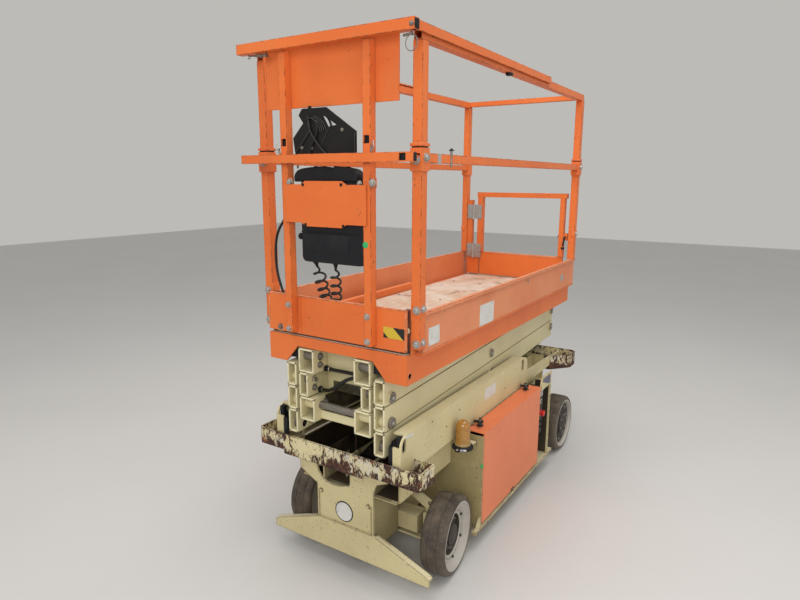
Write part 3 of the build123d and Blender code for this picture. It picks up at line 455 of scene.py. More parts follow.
class Piece:
    """A mesh of several parts and finishes, drawn in the CAD drawing's millimetres."""

    def __init__(self):
        self.bm = bmesh.new()
        self.keys = []

    def take(self, part, mat, matrix=None):
        if mat not in self.keys:
            self.keys.append(mat)
        for f in part.faces:
            f.material_index = self.keys.index(mat)
            f.smooth = True
        if matrix is not None:
            bmesh.ops.transform(part, matrix=matrix, verts=part.verts)
        bmesh.ops.recalc_face_normals(part, faces=part.faces)
        temp = bpy.data.meshes.new("part")
        part.to_mesh(temp)
        part.free()
        self.bm.from_mesh(temp)
        bpy.data.meshes.remove(temp)
        return self

    def block(self, x, y, z, mat, bevel=1.5, segments=2, matrix=None):
        part = bmesh.new()
        bmesh.ops.create_cube(part, size=1.0)
        for v in part.verts:
            v.co = Vector((
                x[0] + (v.co.x + 0.5) * (x[1] - x[0]), y[0] + (v.co.y + 0.5) * (y[1] - y[0]), z[0] + (v.co.z + 0.5) * (z[1] - z[0])
            ))
        if bevel:
            bmesh.ops.bevel(part, geom=list(part.edges), offset=bevel, segments=segments, profile=0.5, affect="EDGES")
        return self.take(part, mat, matrix)

    def prism(self, outline, axis, low, high, mat, bevel=1.0, segments=2, matrix=None):
        """A plate: outline in the two other axes, in order, between low and high on this one."""
        part = bmesh.new()
        spot = {"x": lambda a, b, c: (c, a, b), "y": lambda a, b, c: (a, c, b), "z": lambda a, b, c: (a, b, c)}[axis]
        ring = [part.verts.new(spot(a, b, low)) for a, b in outline]
        face = part.faces.new(ring)
        made = bmesh.ops.extrude_face_region(part, geom=[face])
        move = Vector(spot(0.0, 0.0, high - low))
        for v in made["geom"]:
            if isinstance(v, bmesh.types.BMVert):
                v.co += move
        if bevel:
            bmesh.ops.bevel(part, geom=list(part.edges), offset=bevel, segments=segments, profile=0.5, affect="EDGES")
        return self.take(part, mat, matrix)

    def lathe(self, profile, centre, axis, mat, sides=48, shape=None, matrix=None, loop=False):
        """profile is (radius, height) along axis from centre; shape(angle, r, h) may change a radius."""
        part = bmesh.new()
        rings = []
        for r, h in profile:
            if r < 1e-6:
                rings.append([part.verts.new((0, 0, h))])
                continue
            ring = []
            for i in range(sides):
                t = 2 * math.pi * i / sides
                q = shape(t, r, h) if shape else r
                ring.append(part.verts.new((q * math.cos(t), q * math.sin(t), h)))
            rings.append(ring)
        for a, b in zip(rings, rings[1:] + rings[:1] if loop else rings[1:]):
            for i in range(sides):
                j = (i + 1) % sides
                if len(a) == 1:
                    part.faces.new((a[0], b[i], b[j]))
                elif len(b) == 1:
                    part.faces.new((a[i], a[j], b[0]))
                else:
                    part.faces.new((a[i], a[j], b[j], b[i]))
        for ring in (rings[0], rings[-1]):
            if len(ring) > 1 and not loop:
                part.faces.new(ring)
        turn = Vector(axis).to_track_quat("Z", "Y").to_matrix().to_4x4()
        place = Matrix.Translation(Vector(centre)) @ turn
        return self.take(part, mat, place if matrix is None else matrix @ place)

    def tube(self, points, radius, mat, sides=12, matrix=None, radii=None):
        """A round tube along given points, with closed ends."""
        part = bmesh.new()
        pts = [Vector(p) for p in points]
        normal = None
        rings = []
        for i, p in enumerate(pts):
            ahead = (pts[min(i + 1, len(pts) - 1)] - pts[max(i - 1, 0)]).normalized()
            if normal is None:
                normal = ahead.orthogonal().normalized()
            normal = (normal - ahead * normal.dot(ahead)).normalized()
            side = ahead.cross(normal)
            r = radii[i] if radii else radius
            rings.append([
                part.verts.new(p + (normal * math.cos(2 * math.pi * k / sides) + side * math.sin(2 * math.pi * k / sides)) * r)
                for k in range(sides)
            ])
        for a, b in zip(rings, rings[1:]):
            for k in range(sides):
                part.faces.new((a[k], a[(k + 1) % sides], b[(k + 1) % sides], b[k]))
        part.faces.new(rings[0])
        part.faces.new(rings[-1])
        return self.take(part, mat, matrix)

    def bolt(self, centre, axis, mat="steel", across=17.0, head=7.0, washer=True, turn=0.3, matrix=None):
        """A hexagon head with a washer, standing on centre."""
        c, a = Vector(centre), Vector(axis).normalized()
        if washer:
            w = across * 0.78
            self.lathe([(w * 0.4, 0), (w - 0.4, 0), (w, 0.4), (w, 1.6), (w - 0.6, 2.2), (w * 0.4, 2.2)], c, a, mat, 28, matrix=matrix)
        base = 2.0 if washer else 0.0
        r = across / 2 / math.cos(math.pi / 6)

        def hexagon(t, q, h):
            u = (t + turn) % (math.pi / 3) - math.pi / 6
            flat = across / 2 / math.cos(u)
            return min(flat * q / r, q * 0.97) if q > r * 0.5 else q

        self.lathe([(r, base), (r, base + head * 0.75), (r * 0.93, base + head * 0.93), (r * 0.80, base + head), (r * 0.3, base + head), (0, base + head - 0.3)], c, a, mat, 48, hexagon, matrix=matrix)
        return self

    def done(self, name, body, slot=None, hides=(), sharp=32.0):
        bmesh.ops.scale(self.bm, vec=(0.001, 0.001, 0.001), verts=self.bm.verts)
        bmesh.ops.translate(self.bm, vec=(SHIFT / 1000, 0, LIFT / 1000), verts=self.bm.verts)
        me = bpy.data.meshes.new(name)
        self.bm.to_mesh(me)
        self.bm.free()
        me.set_sharp_from_angle(angle=math.radians(sharp))
        for key in self.keys:
            me.materials.append(M[key])
        o = bpy.data.objects.new(name, me)
        scene.collection.objects.link(o)
        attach(o, body)
        if hides:
            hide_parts(*hides)
        return o


def smooth_line(points, each=6):
    """Points along a smooth curve through the given ones."""
    p = [Vector(q) for q in points]
    p = [p[0] * 2 - p[1]] + p + [p[-1] * 2 - p[-2]]
    out = []
    for i in range(1, len(p) - 2):
        a, b, c, d = p[i - 1], p[i], p[i + 1], p[i + 2]
        for k in range(each):
            t = k / each
            out.append(0.5 * ((2 * b) + (c - a) * t + (2 * a - 5 * b + 4 * c - d) * t * t + (3 * b - a - 3 * c + d) * t ** 3))
    out.append(p[-2])
    return out


# ---------------------------------------------------------------- cords
def nurbs(name, points, radius=None):
    """points in metres."""
    data = bpy.data.curves.new(name, "CURVE")
    data.dimensions = "3D"
    data.resolution_u = 12
    line = data.splines.new("NURBS")
    line.points.add(len(points) - 1)
    for slot_point, p in zip(line.points, points):
        slot_point.co = (*p, 1.0)
    line.order_u = 3
    line.use_endpoint_u = True
    if radius:
        data.bevel_depth = radius
        data.bevel_resolution = 5
        data.use_fill_caps = True
    o = bpy.data.objects.new(name, data)
    scene.collection.objects.link(o)
    return o


def spline_points(o):
    me = bpy.data.meshes.new_from_object(o)
    pts = [v.co.copy() for v in me.vertices]
    bpy.data.meshes.remove(me)
    return pts


def line_length(points):
    return sum((b - a).length for a, b in zip(points, points[1:]))


HOSES = [
    # name, radius (m), body, far end, stiffness, lay, route (mm)
    ("side_hose_front", 0.005, "extension", "stiff", "hanging",
     [(865.0, -193.0, 1431.7), (865.0, -222.0, 1400.0), (862.0, -268.0, 1345.0), (858.0, -284.0, 1275.0), (856.0, -282.0, 1195.0), (852.0, -262.0, 1125.0), (848.0, -236.0, 1068.0), (845.0, -220.0, 1018.0), (844.0, -214.0, 971.3)]),
    ("side_hose_rear", 0.005, "extension", "stiff", "hanging",
     [(850.0, -198.0, 1431.7), (848.0, -220.0, 1392.0), (840.0, -246.0, 1335.0), (834.0, -254.0, 1270.0), (832.0, -252.0, 1195.0), (828.0, -240.0, 1125.0), (824.0, -224.0, 1068.0), (820.0, -208.0, 1018.0), (818.0, -200.0, 971.3)]),
    ("arm_hose", 0.007, "inner_arms_3", "stiff", "hanging",
     [(803.0, -71.7, 824.0), (803.0, -42.0, 824.0), (804.0, -8.0, 826.0), (803.0, 30.0, 825.5), (803.0, 60.0, 826.0),
      (818.0, 68.7, 824.0), (833.0, 60.0, 820.0), (830.0, 31.0, 809.0), (823.0, -6.0, 784.0), (815.0, -42.0, 757.0),
      (807.0, -76.0, 738.0), (802.0, -96.0, 733.0), (802.0, -111.0, 733.0)]),
]
for name, radius, body, stiffness, lay, route in HOSES:
    o = nurbs(name + "_run", [P(*q) for q in route], radius)
    o.data.materials.append(M["rubber"])
    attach(o, body)
    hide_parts(name)
    bare = nurbs("route", [P(*q) for q in route])
    run = line_length(spline_points(bare))
    bpy.data.objects.remove(bare)

CURLS = [
    # name, top, foot (mm), coil radius, wire radius, turns, phase
    ("curly_cord_left", (872.0, 20.0, 1251.7), (801.0, -34.0, 971.3), 18.6, 4.0, 10, 0.4),
    ("curly_cord_right", (872.0, -71.0, 1251.7), (764.0, -78.0, 971.3), 21.6, 4.0, 10, 2.2),
]
for name, top, foot, coil, wire, turns, phase in CURLS:
    a, b = P(*top), P(*foot)
    drop = b - a
    sway = drop.cross(Vector((1, 0, 0))).normalized()
    bare = nurbs(name + "_line", [a, a + drop * 0.08, a + drop * 0.3 + sway * 0.0012, a + drop * 0.52 - sway * 0.0010, a + drop * 0.75 + sway * 0.0008, a + drop * 0.93, b])
    line = spline_points(bare)
    bpy.data.objects.remove(bare)
    walk = [0.0]
    for p, q in zip(line, line[1:]):
        walk.append(walk[-1] + (q - p).length)
    whole = walk[-1]

    def at(s_):
        for i in range(len(walk) - 1):
            if walk[i + 1] >= s_ or i == len(walk) - 2:
                f = (s_ - walk[i]) / (walk[i + 1] - walk[i])
                return line[i].lerp(line[i + 1], f)

    along = drop.normalized()
    u = along.cross(Vector((0, 1, 0))).normalized()
    v = along.cross(u)
    points = [at(0.0), at(0.010)]
    each = 14
    lead, tail = 0.018, 0.014
    for k in range(turns * each + 1):
        t = k / (turns * each)
        # the upper turns are pulled further apart than the lower ones
        left = max(0.0, k / each - (turns - 1))
        s_ = lead + (whole - lead - tail - 0.030) * (0.22 * t + 0.78 * (1.0 - (1.0 - t) ** 1.8)) + 0.030 * left
        grow = 1.0
        for q in (min(1.0, k / each), min(1.0, (turns * each - k) / each)):
            grow *= q * q * (3.0 - 2.0 * q)
        wobble = 1.0 - 0.07 * (0.5 + 0.5 * math.sin(1.7 * k / each + phase))
        ang = 2 * math.pi * k / each + phase
        points.append(at(s_) + (u * math.cos(ang) + v * math.sin(ang)) * coil / 1000 * grow * wobble)
    points += [at(whole - 0.007), at(whole)]
    o = nurbs(name + "_coil", points, wire / 1000)
    o.data.resolution_u = 3
    o.data.bevel_resolution = 3
    o.data.materials.append(M["rubber"])
    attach(o, "extension")
    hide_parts(name)
    bare = nurbs("route", points)
    run = line_length(spline_points(bare))
    bpy.data.objects.remove(bare)

# strain reliefs and glands of the cords
relief = Piece()
for top, way in (((872.0, 20.0, 1251.7), (-0.24, -0.19, -0.96)), ((872.0, -71.0, 1251.7), (-0.36, -0.02, -0.93))):
    relief.lathe([(11, -1), (11, 2), (8.5, 3), (8.5, 6), (7.4, 7), (7.6, 9), (6.6, 10), (6.8, 12), (5.8, 13), (6.0, 15), (5.0, 16), (4.9, 22), (3.7, 22)], top, way, "black", 24)
for foot in ((801.0, -34.0, 971.3), (764.0, -78.0, 971.3)):
    relief.lathe([(12, 0), (12, 3), (9, 5), (8, 12), (6, 18), (4.2, 20), (3.7, 20)], foot, (0, 0, 1), "black", 24)
for top, way in (((865.0, -193.0, 1432.0), (0, -29, -32)), ((850.0, -198.0, 1432.0), (-2, -22, -39))):
    relief.lathe([(9.5, 0), (9.5, 7), (8.6, 8), (8.4, 15), (7.2, 17), (7.3, 20), (6.4, 21), (6.6, 24), (5.6, 25), (5.5, 34), (5.05, 34)], top, way, "black", 24)
for foot in ((844.0, -214.0, 971.3), (818.0, -200.0, 971.3)):
    relief.lathe([(12, 0), (12, 4), (9.5, 6), (9.0, 14), (7.0, 20), (5.6, 26), (5.05, 26)], foot, (0, 0, 1), "black", 24)
relief.block((838, 873), (-209, -181), (1432, 1450), "black", 2.0)
relief.done("cord_strain_reliefs", "extension", "black_plastic")
arm_gland = Piece()
arm_gland.lathe([(12, -1), (12, 5), (9.6, 6), (9.6, 19), (8.8, 20), (8.8, 24), (7.2, 24)], (803, -94.7, 824), (0, 1, 0), "black", 24)
arm_gland.block((792, 814), (48, 58), (816, 836), "steel_dull", 1.2)
arm_gland.done("arm_hose_clamp", "inner_arms_3", "black_plastic")
arm_low = Piece()
arm_low.lathe([(13, -1), (13, 4), (9.8, 5), (9.8, 13), (8.4, 14.4)], (802, -125.7, 733), (0, 1, 0), "black", 24)
arm_low.done("arm_hose_gland", "inner_arms_2", "black_plastic")

# ---------------------------------------------------------------- wheels
AXLE_F, AXLE_R, KING_Y, WHEEL_MID, WHEEL_Z = 579.0, -786.0, 262.0, 327.5, 141.0
TO_Y = Matrix.Rotation(math.radians(-90), 4, "X")          # lathe axis to +Y


def band_line(half):
    """Tread of a solid tyre from its outer face to its inner face: radius and height."""
    out = [(138.0, half - 1.5), (139.2, half - 0.6), (141.5, half), (144.5, half - 0.2), (147, half - 1.5), (152, half - 4.5), (155.6, half - 9), (157.9, half - 15)]
    marks = [19.0, -19.0]
    y = half - 20
    top = [(158.7, y)]
    for g in marks:
        top += [(158.9, g + 2.2), (156.6, g + 1.3), (156.6, g - 1.3), (158.9, g - 2.2)]
    out += top
    out += [(158.7, -half + 20), (157.9, -half + 15), (155.6, -half + 9), (152, -half + 4.5), (147, -half + 1.5), (143, -half), (139.5, -half), (138.0, -half + 1.5)]
    return out


def tread(t, r, h):
    """Shallow cross grooves, staggered between the three bands."""
    if r < 158.0:
        return r
    shift = 0.0 if abs(h) < 17 else math.pi / 18
    u = (t + shift) % (math.pi / 9)
    return r - 1.5 if u < 0.030 else r


def make_wheel(side, front, body, tyre_node, rim_node):
    w = Piece()
    half = 52.5
    place = Matrix.Translation((AXLE_F if front else AXLE_R, WHEEL_MID, WHEEL_Z)) @ TO_Y
    flip = Matrix.Scale(-1, 4, (0, 1, 0))
    turn = Matrix.Identity(4)
    if front:
        turn = Matrix.Rotation(math.radians(6.0), 4, "Z")
        turn = Matrix.Translation((AXLE_F, side * KING_Y, 0)) @ turn @ Matrix.Translation((-AXLE_F, -side * KING_Y, 0))
    m = turn @ (place if side > 0 else flip @ place)
    w.lathe(band_line(half), (0, 0, 0), (0, 0, 1), "tyre", 216, tread, m, True)
    tyre = w.done("tyre_" + tyre_node, body, "tyre", (tyre_node,), 28)
    r = Piece()
    r.lathe([(137.72, 49.6), (137.5, 51.4), (135.8, 52.2), (133.4, 52.0), (131.6, 50.9), (131.2, 49.6)], (0, 0, 0), (0, 0, 1), "rim_edge", 128, None, m, True)
    if front:
        wall = [(137.6, 46), (137.5, 49.8), (132.6, 50.0), (130.6, 49.0), (127.0, 45.6), (121, 41.6), (112, 36.4), (104.5, 33.4), (103.5, 32.0)]
        r.lathe(wall, (0, 0, 0), (0, 0, 1), "rim", 128, None, m, True)
        r.lathe([(103.6, 30), (103.6, 32.4), (102, 32.0), (97, 28.2), (93.5, 26.4), (90.5, 26.2)], (0, 0, 0), (0, 0, 1), "rim", 128, None, m, True)
        r.lathe([(91.0, 24), (91.0, 26.8), (89.6, 27.6), (84.6, 27.4), (82.6, 26.0), (82.0, 23.5)], (0, 0, 0), (0, 0, 1), "rim_edge", 128, None, m, True)
        ring = [(0, 4.5), (82.6, 4.5), (82.6, 24), (82.2, 24), (81.4, 14), (80.8, 7.4), (72, 6.9), (60, 6.6), (47, 8), (43.5, 12)]
        ring += [(42, 14), (42, 28), (39.5, 31), (30, 31.4), (28.5, 33.8), (20, 35.4), (8, 35.8), (0, 35.9)]
        r.lathe(ring, (0, 0, 0), (0, 0, 1), "rim_dark", 96, None, m)
        for k in range(6):
            a = math.pi / 3 * k + 0.5
            r.bolt((97.5 * math.cos(a), 97.5 * math.sin(a), 28.6), (-0.35 * math.cos(a), -0.35 * math.sin(a), 1), "rim_dark", 11, 5.0, False, 0.4 * k, m)
        nuts, at_r, at_h = 5, 62.0, 6.6
    else:
        wall = [(137.6, 46), (137.5, 49.8), (131.4, 49.9), (129.4, 49.2), (127.6, 46), (126, 40), (123.6, 34.8), (119.6, 33.2)]
        r.lathe(wall, (0, 0, 0), (0, 0, 1), "rim", 128, None, m, True)
        ring = [(0, 28.5), (119.8, 28.5), (119.8, 33.2), (112, 31.4), (100, 31.0), (84, 32.4), (81.5, 34.5), (80, 38.6), (77.5, 40.2), (66, 40.4), (64, 38), (62, 36), (0, 35.9)]
        r.lathe(ring, (0, 0, 0), (0, 0, 1), "rim_dark", 96, None, m)
        hub = [(62.2, 33), (60, 36), (60, 44.6), (57.5, 46.6), (40, 46.9), (38.5, 45), (36, 44.6), (34, 47.5), (22, 49.4), (8, 49.9), (0, 50)]
        r.lathe(hub, (0, 0, 0), (0, 0, 1), "rim_dark", 64, None, m)
        for k in range(10):
            a = math.pi / 5 * k + 0.2
            r.bolt((101 * math.cos(a), 101 * math.sin(a), 31.0), (0, 0, 1), "rim", 9, 3.5, False, 0.2 * k, m)
        for k in range(5):
            a = 2 * math.pi * k / 5 + 0.5
            r.lathe([(8, 40.2), (8, 40.8), (6.5, 41.1), (0, 41.1)], (71.5 * math.cos(a), 71.5 * math.sin(a), 0), (0, 0, 1), "black_metal", 24, None, m)
        nuts, at_r, at_h = 6, 49.0, 46.8
    for k in range(nuts):
        a = 2 * math.pi * k / nuts + (0.35 if side > 0 else -0.1)
        c = (at_r * math.cos(a), at_r * math.sin(a), at_h)
        r.bolt(c, (0, 0, 1), "steel_dull", 15 if front else 10, 9 if front else 4.4, front, 0.5 * k, m)
        if front:
            r.lathe([(5, 8), (5, 15), (4.2, 16), (0, 16.2)], c, (0, 0, 1), "steel_dull", 16, None, m)
    # valve-free back face
    r.lathe([(128, -38), (137.6, -46), (137.6, -50.4), (132, -51), (126, -50), (122.6, -40), (119, -12), (30, -11.5)], (0, 0, 0), (0, 0, 1), "rim", 96, None, m)
    r.done("rim_" + rim_node, body, "rim_paint", (rim_node,), 35)


make_wheel(1, True, "wheel_front_left", "tyre_front_left", "rim_front_left")
make_wheel(-1, True, "wheel_front_right", "tyre_front_right", "rim_front_right")
make_wheel(1, False, "wheel_rear_left", "tyre_rear_left", "rim_rear_left")
make_wheel(-1, False, "wheel_rear_right", "tyre_rear_right", "rim_rear_right")

# ---------------------------------------------------------------- beacon
b = Piece()
b.lathe([(40, 468.3), (43.4, 469.0), (44, 471.5), (43.6, 476), (41.0, 480.0), (37.5, 482.0), (33.5, 482.6), (30, 482.6)], (460, 335, 0), (0, 0, 1), "black", 72)
b.block((406, 514), (326, 344), (468.4, 476), "black", 2.6, 3)
for dx in (-49, 49):
    b.bolt((460 + dx, 335, 476), (0, 0, 1), "steel", 7, 2.6, True)
way = math.atan2(0.50, 0.86)
face = Matrix.Translation((460, 335, 475.4)) @ Matrix.Rotation(way, 4, "Z")
b.block((42.8, 44.2), (-12, 12), (-3.6, 3.6), "label_white", 0.3, 1, face)
b.block((43.4, 44.6), (-9, 1), (-2.2, 2.2), "label_blue", 0.2, 1, face)
b.lathe([(31, 482.4), (32.6, 483.2), (33, 485), (33, 490.6), (32.2, 492.4), (30.2, 493.2)], (460, 335, 0), (0, 0, 1), "amber_pale", 90)
# reflector and the dark rod inside the dome
b.lathe([(22, 493.0), (22, 494.6), (9, 496), (7, 500), (7, 506)], (460, 335, 0), (0, 0, 1), "steel_dull", 48)
b.lathe([(6, 505.5), (6.4, 507), (6.4, 552), (4.6, 557), (0, 558.4)], (460, 335, 0), (0, 0, 1), "black_metal", 32)


def flutes(t, r, h):
    return r * (1.0 + 0.011 * math.cos(30 * t)) if 498 < h < 560 else r


lens_line = [(30.4, 491.6), (30.6, 494), (29.4, 496)] + [(29.2, 498 + 3.3 * k) for k in range(19)]
lens_line += [(29.5 * math.cos(math.radians(a)), 561 + 29.4 * math.sin(math.radians(a))) for a in (4, 12, 22, 32, 42, 52, 62, 71, 79, 86)] + [(0, 590.4)]
b.lathe(lens_line, (460, 335, 0), (0, 0, 1), "amber", 120, flutes)
for z in (520, 545):
    b.lathe([(29.0, z - 1.2), (29.9, z - 0.6), (29.9, z + 0.6), (29.0, z + 1.2)], (460, 335, 0), (0, 0, 1), "amber", 90)
b.done("beacon_lamp", "chassis", "amber_lens", ("beacon",), 40)

# stop button of the ground controls
b = Piece()
b.lathe([(18, 368.2), (18, 371), (16.5, 373), (12, 374), (10, 378), (10, 381), (15.4, 382), (16.6, 384.4), (16.4, 388), (13.5, 391), (7, 392.3), (0, 392.6)], (-384, 0, 340), (0, 1, 0), "red", 48)
b.done("stop_button_head", "chassis", "red_plastic", ("stop_button",))

# ground controls: panels with raised rims, plain switches and a key barrel
for side, who in ((1, "left"), (-1, "right")):
    b = Piece()
    m = None if side > 0 else Matrix.Scale(-1, 4, (0, 1, 0))
    b.block((-424, -344), (300, 366), (216, 474), "black", 5.0, 3, m)
    b.block((-417, -351), (364, 369), (224, 466), "black_metal", 2.5, 2, m)
    if side > 0:
        b.lathe([(14, 368.9), (14, 371), (12, 372.5), (7, 373), (6, 370)], (-384, 0, 404), (0, 1, 0), "steel", 32, None, m)
        b.block((-386, -382), (368, 377), (398, 410), "steel_dull", 0.6, 1, m)
        for zz in (262, 292):
            b.lathe([(9, 368.9), (9, 372), (7, 373.5), (3.4, 374), (2.6, 388), (3.6, 392), (0, 393)], (-384, 0, zz), (0, 1, 0), "black", 24, None, m)
        b.block((-410, -358), (368.8, 369.8), (430, 458), "label_grey", 0.3, 1, m)
    else:
        b.lathe([(26, 368.9), (26, 372), (23, 374), (19, 374), (19, 371), (0, 371)], (-384, 0, 380), (0, 1, 0), "black", 40, None, m)
        for k in range(3):
            a = 2 * math.pi * k / 3 + 0.5
            b.lathe([(2.2, 371), (2.2, 373.4), (0, 374)], (-384 + 9 * math.cos(a), 0, 380 + 9 * math.sin(a)), (0, 1, 0), "steel", 12, None, m)
    b.done("ground_panel_" + who, "chassis", "black_plastic", ("ground_controls",))

# ---------------------------------------------------------------- battery doors' latches
for side, who in ((1, "left"), (-1, "right")):
    b = Piece()
    m = None if side > 0 else Matrix.Scale(-1, 4, (0, 1, 0))
    for lx in (-250.0, 290.0):
        b.lathe([(15, 502.2), (15, 504), (12.5, 506.5), (10, 508), (9, 514), (11, 515.6), (11, 518), (0, 518.4)], (lx, 332, 0), (0, 0, 1), "rubber", 36, None, m)
        tilt = Matrix.Translation((lx, 332, 520)) @ Matrix.Rotation(0.42, 4, "Z")
        mm = tilt if m is None else m @ tilt
        b.prism([(-38, -4), (-30, -7), (-8, -6), (8, -6), (30, -7), (38, -4), (38, 4), (30, 7), (8, 6), (-8, 6), (-30, 7), (-38, 4)], "z", -3, 5, "rubber", 1.6, 2, mm)
        b.prism([(-6, -28), (6, -28), (8, -10), (8, 14), (-8, 14), (-8, -10)], "z", -2.6, 5.6, "rubber", 1.4, 2, mm)
        b.bolt((lx, 332, 525), (0, 0, 1), "steel_dull", 7, 2.5, True, 0.4, m)
    # catch at the foot of the door
    b.block((-4, 32), (384.4, 388), (88.6, 99), "rust", 1.6, 2, m)
    b.bolt((14, 388, 94), (0, 1, 0), "steel_dull", 7, 3, False, 0.2, m)
    b.done("door_latch_knobs_" + who, "battery_door_" + who, "black_plastic", ("door_latches_" + who,))

# ---------------------------------------------------------------- control box and console
b = Piece()
shell = []
for cx, cy, a0 in ((-93, 1272, 180), (141, 1272, 270)):
    for k in range(7):
        a = math.radians(a0 + 15 * k)
        shell.append((cx + 20 * math.cos(a), cy + 20 * math.sin(a)))
shell += [(161, 1400), (161, 1526), (158, 1531), (-110, 1531), (-113, 1526), (-113, 1400)]
b.prism(shell, "x", 850.5, 897.5, "black", 4.0, 3)
b.prism([(y, z) for y, z in ((-86, 1290), (92, 1290), (100, 1298), (100, 1348), (92, 1356), (-86, 1356), (-94, 1348), (-94, 1298))], "x", 896, 899.6, "black", 1.6, 2)
b.block((893, 900.5), (-112, 160), (1357, 1361), "black_metal", 1.2)
b.block((850.8, 896), (-109, 157), (1529, 1535), "black_metal", 1.0)
lid = [(-139, 1534), (-139.5, 1552), (-135, 1563), (-124, 1573), (-108, 1579), (-70, 1583.5), (-20, 1586.4), (10, 1582.5), (44, 1582.5), (52, 1586), (70, 1584.5), (104, 1579), (120, 1575), (131, 1566), (138, 1555), (139.5, 1534)]
b.prism(lid, "x", 851, 901.5, "black", 5.0, 3)
b.lathe([(7, -113), (7, -118), (5.5, -119), (5.5, -124), (11, -126), (12, -128), (12, -137), (10.5, -139.5), (0, -140)], (876, 0, 1340), (0, 1, 0), "black", 32)
for cx, cz in ((148, 1530),):
    b.bolt((898, cx, cz), (1, 0, 0), "steel", 12, 6, True)
for y in (-60, -22, 30, 82):
    b.lathe([(9, 0), (9, 2), (7, 3.4), (4, 4), (0, 4.2)], (872, y, 1583.5 if abs(y) < 70 else 1581), (0, 0, 1), "black_metal", 24)
b.done("control_housing", "extension", "black_plastic", ("control_box",))

b = Piece()
# joystick, its boot, two switch blocks and the wiring behind the bracket
boot = [(30, 0), (30, 4), (25, 7)]
for k in range(7):
    boot += [(24.5 - 2.3 * k, 9 + 4.4 * k), (21.5 - 2.3 * k, 11.2 + 4.4 * k)]
boot += [(7, 42), (6, 44)]
b.lathe(boot, (868, -36, 1606), (0.05, -0.12, 1), "rubber", 40)
b.lathe([(6, 40), (6, 60), (11, 66), (14, 80), (15, 104), (17, 118), (16, 128), (10, 134), (0, 136)], (868, -36, 1606), (0.05, -0.12, 1), "black", 36)
b.block((852, 884), (-120, -70), (1605.5, 1655), "black", 4.0, 3)
b.block((853, 883), (24, 92), (1605.5, 1640), "black", 4.0, 3)
b.lathe([(13, 0), (13, 6), (15, 7), (16.5, 10), (16, 15), (11, 18), (0, 19)], (868, 58, 1640), (0, 0, 1), "red", 36)
for y, z in ((-104, 1640), (-86, 1640)):
    b.lathe([(5, 0), (5, 4), (2.4, 5), (2.0, 17), (3.2, 21), (0, 22)], (868, y, z + 14), (0.1, 0, 1), "steel", 20)
wires = [
    ([(872, -112, 1610), (882, -104, 1650), (878, -92, 1700), (872, -78, 1740), (868, -50, 1762), (864, -10, 1750), (862, 10, 1700), (864, 16, 1650), (866, 20, 1612)], 4.2),
    ([(866, -96, 1608), (880, -84, 1660), (881, -100, 1712), (874, -104, 1748), (868, -84, 1768), (864, -58, 1758), (860, -30, 1716), (862, -14, 1660), (866, -8, 1612)], 3.6),
    ([(874, -60, 1610), (884, -66, 1640), (884, -84, 1676), (880, -98, 1724), (872, -92, 1766)], 3.0),
    ([(880, -20, 1610), (884, -34, 1660), (882, -60, 1706), (876, -86, 1742)], 3.0),
]
for pts, r in wires:
    b.tube(smooth_line(pts, 7), r, "rubber", 10)
b.lathe([(10, 0), (10, 18), (8.5, 20), (8.5, 30), (6, 31), (6, 40)], (872, -92, 1752), (0, 0.3, 1), "black", 24)
b.done("console_controls", "extension", "black_plastic")

# ---------------------------------------------------------------- fasteners and small fittings
FRONT, LEFT, RIGHT, UP, BACK = (1, 0, 0), (0, 1, 0), (0, -1, 0), (0, 0, 1), (-1, 0, 0)
e = Piece()
for y, z in ((-184, 1083), (-184, 992), (177, 1083), (177, 994)):
    e.bolt((903, y, z), FRONT, "steel", 15, 7, True, 0.1 * (z % 7))
for y in (-156, 203):
    e.block((897, 903), (y - 13, y + 13), (1515, 1548), "orange_rails", 1.2)
    e.bolt((903, y, 1532), FRONT, "steel", 17, 8, True, 0.6)
for y, z in ((-89, 1524), (80, 1525), (-81, 1386), (87, 1387)):
    e.lathe([(5.6, 0), (5.6, 1.4), (4.4, 2.8), (2.4, 3.2), (2.2, 1.6), (0, 1.5)], (911, y, z), FRONT, "black_metal", 20)
e.lathe([(11, 0), (11, 0.7), (10.4, 0.9), (0, 0.9)], (903, 173, 1328), FRONT, "label_green", 40)
# hazard patch and edge strips of the front toe board; the strips' lighter orange is worn paint with painted highlight
e.block((871.6, 872.7), (224, 309), (1011, 1050), "hazard", 0.25, 1)
for y in (-313, 313):
    e.block((862.5, 872.4), (y - 3, y + 3), (969, 1115.6), "orange_lip", 1.0)
e.block((861.5, 873.2), (-313.5, 313.5), (1111.5, 1116), "orange_lip", 1.1)
for y in (-150, 152):
    e.block((871.5, 874.5), (y - 2, y + 2), (972, 1112), "orange", 0.8)
# bolt on the toe board's foot, and its slot
e.bolt((872, -255, 984), FRONT, "steel_dull", 15, 9, True, 0.2)
e.block((866, 873), (-270, -240), (966, 990), "orange_lip", 2.0)
# shadowed shelf under the toe board
e.block((856, 863.4), (-300, 300), (960.6, 968.4), "dark_shade_fill", 0.4, 1)
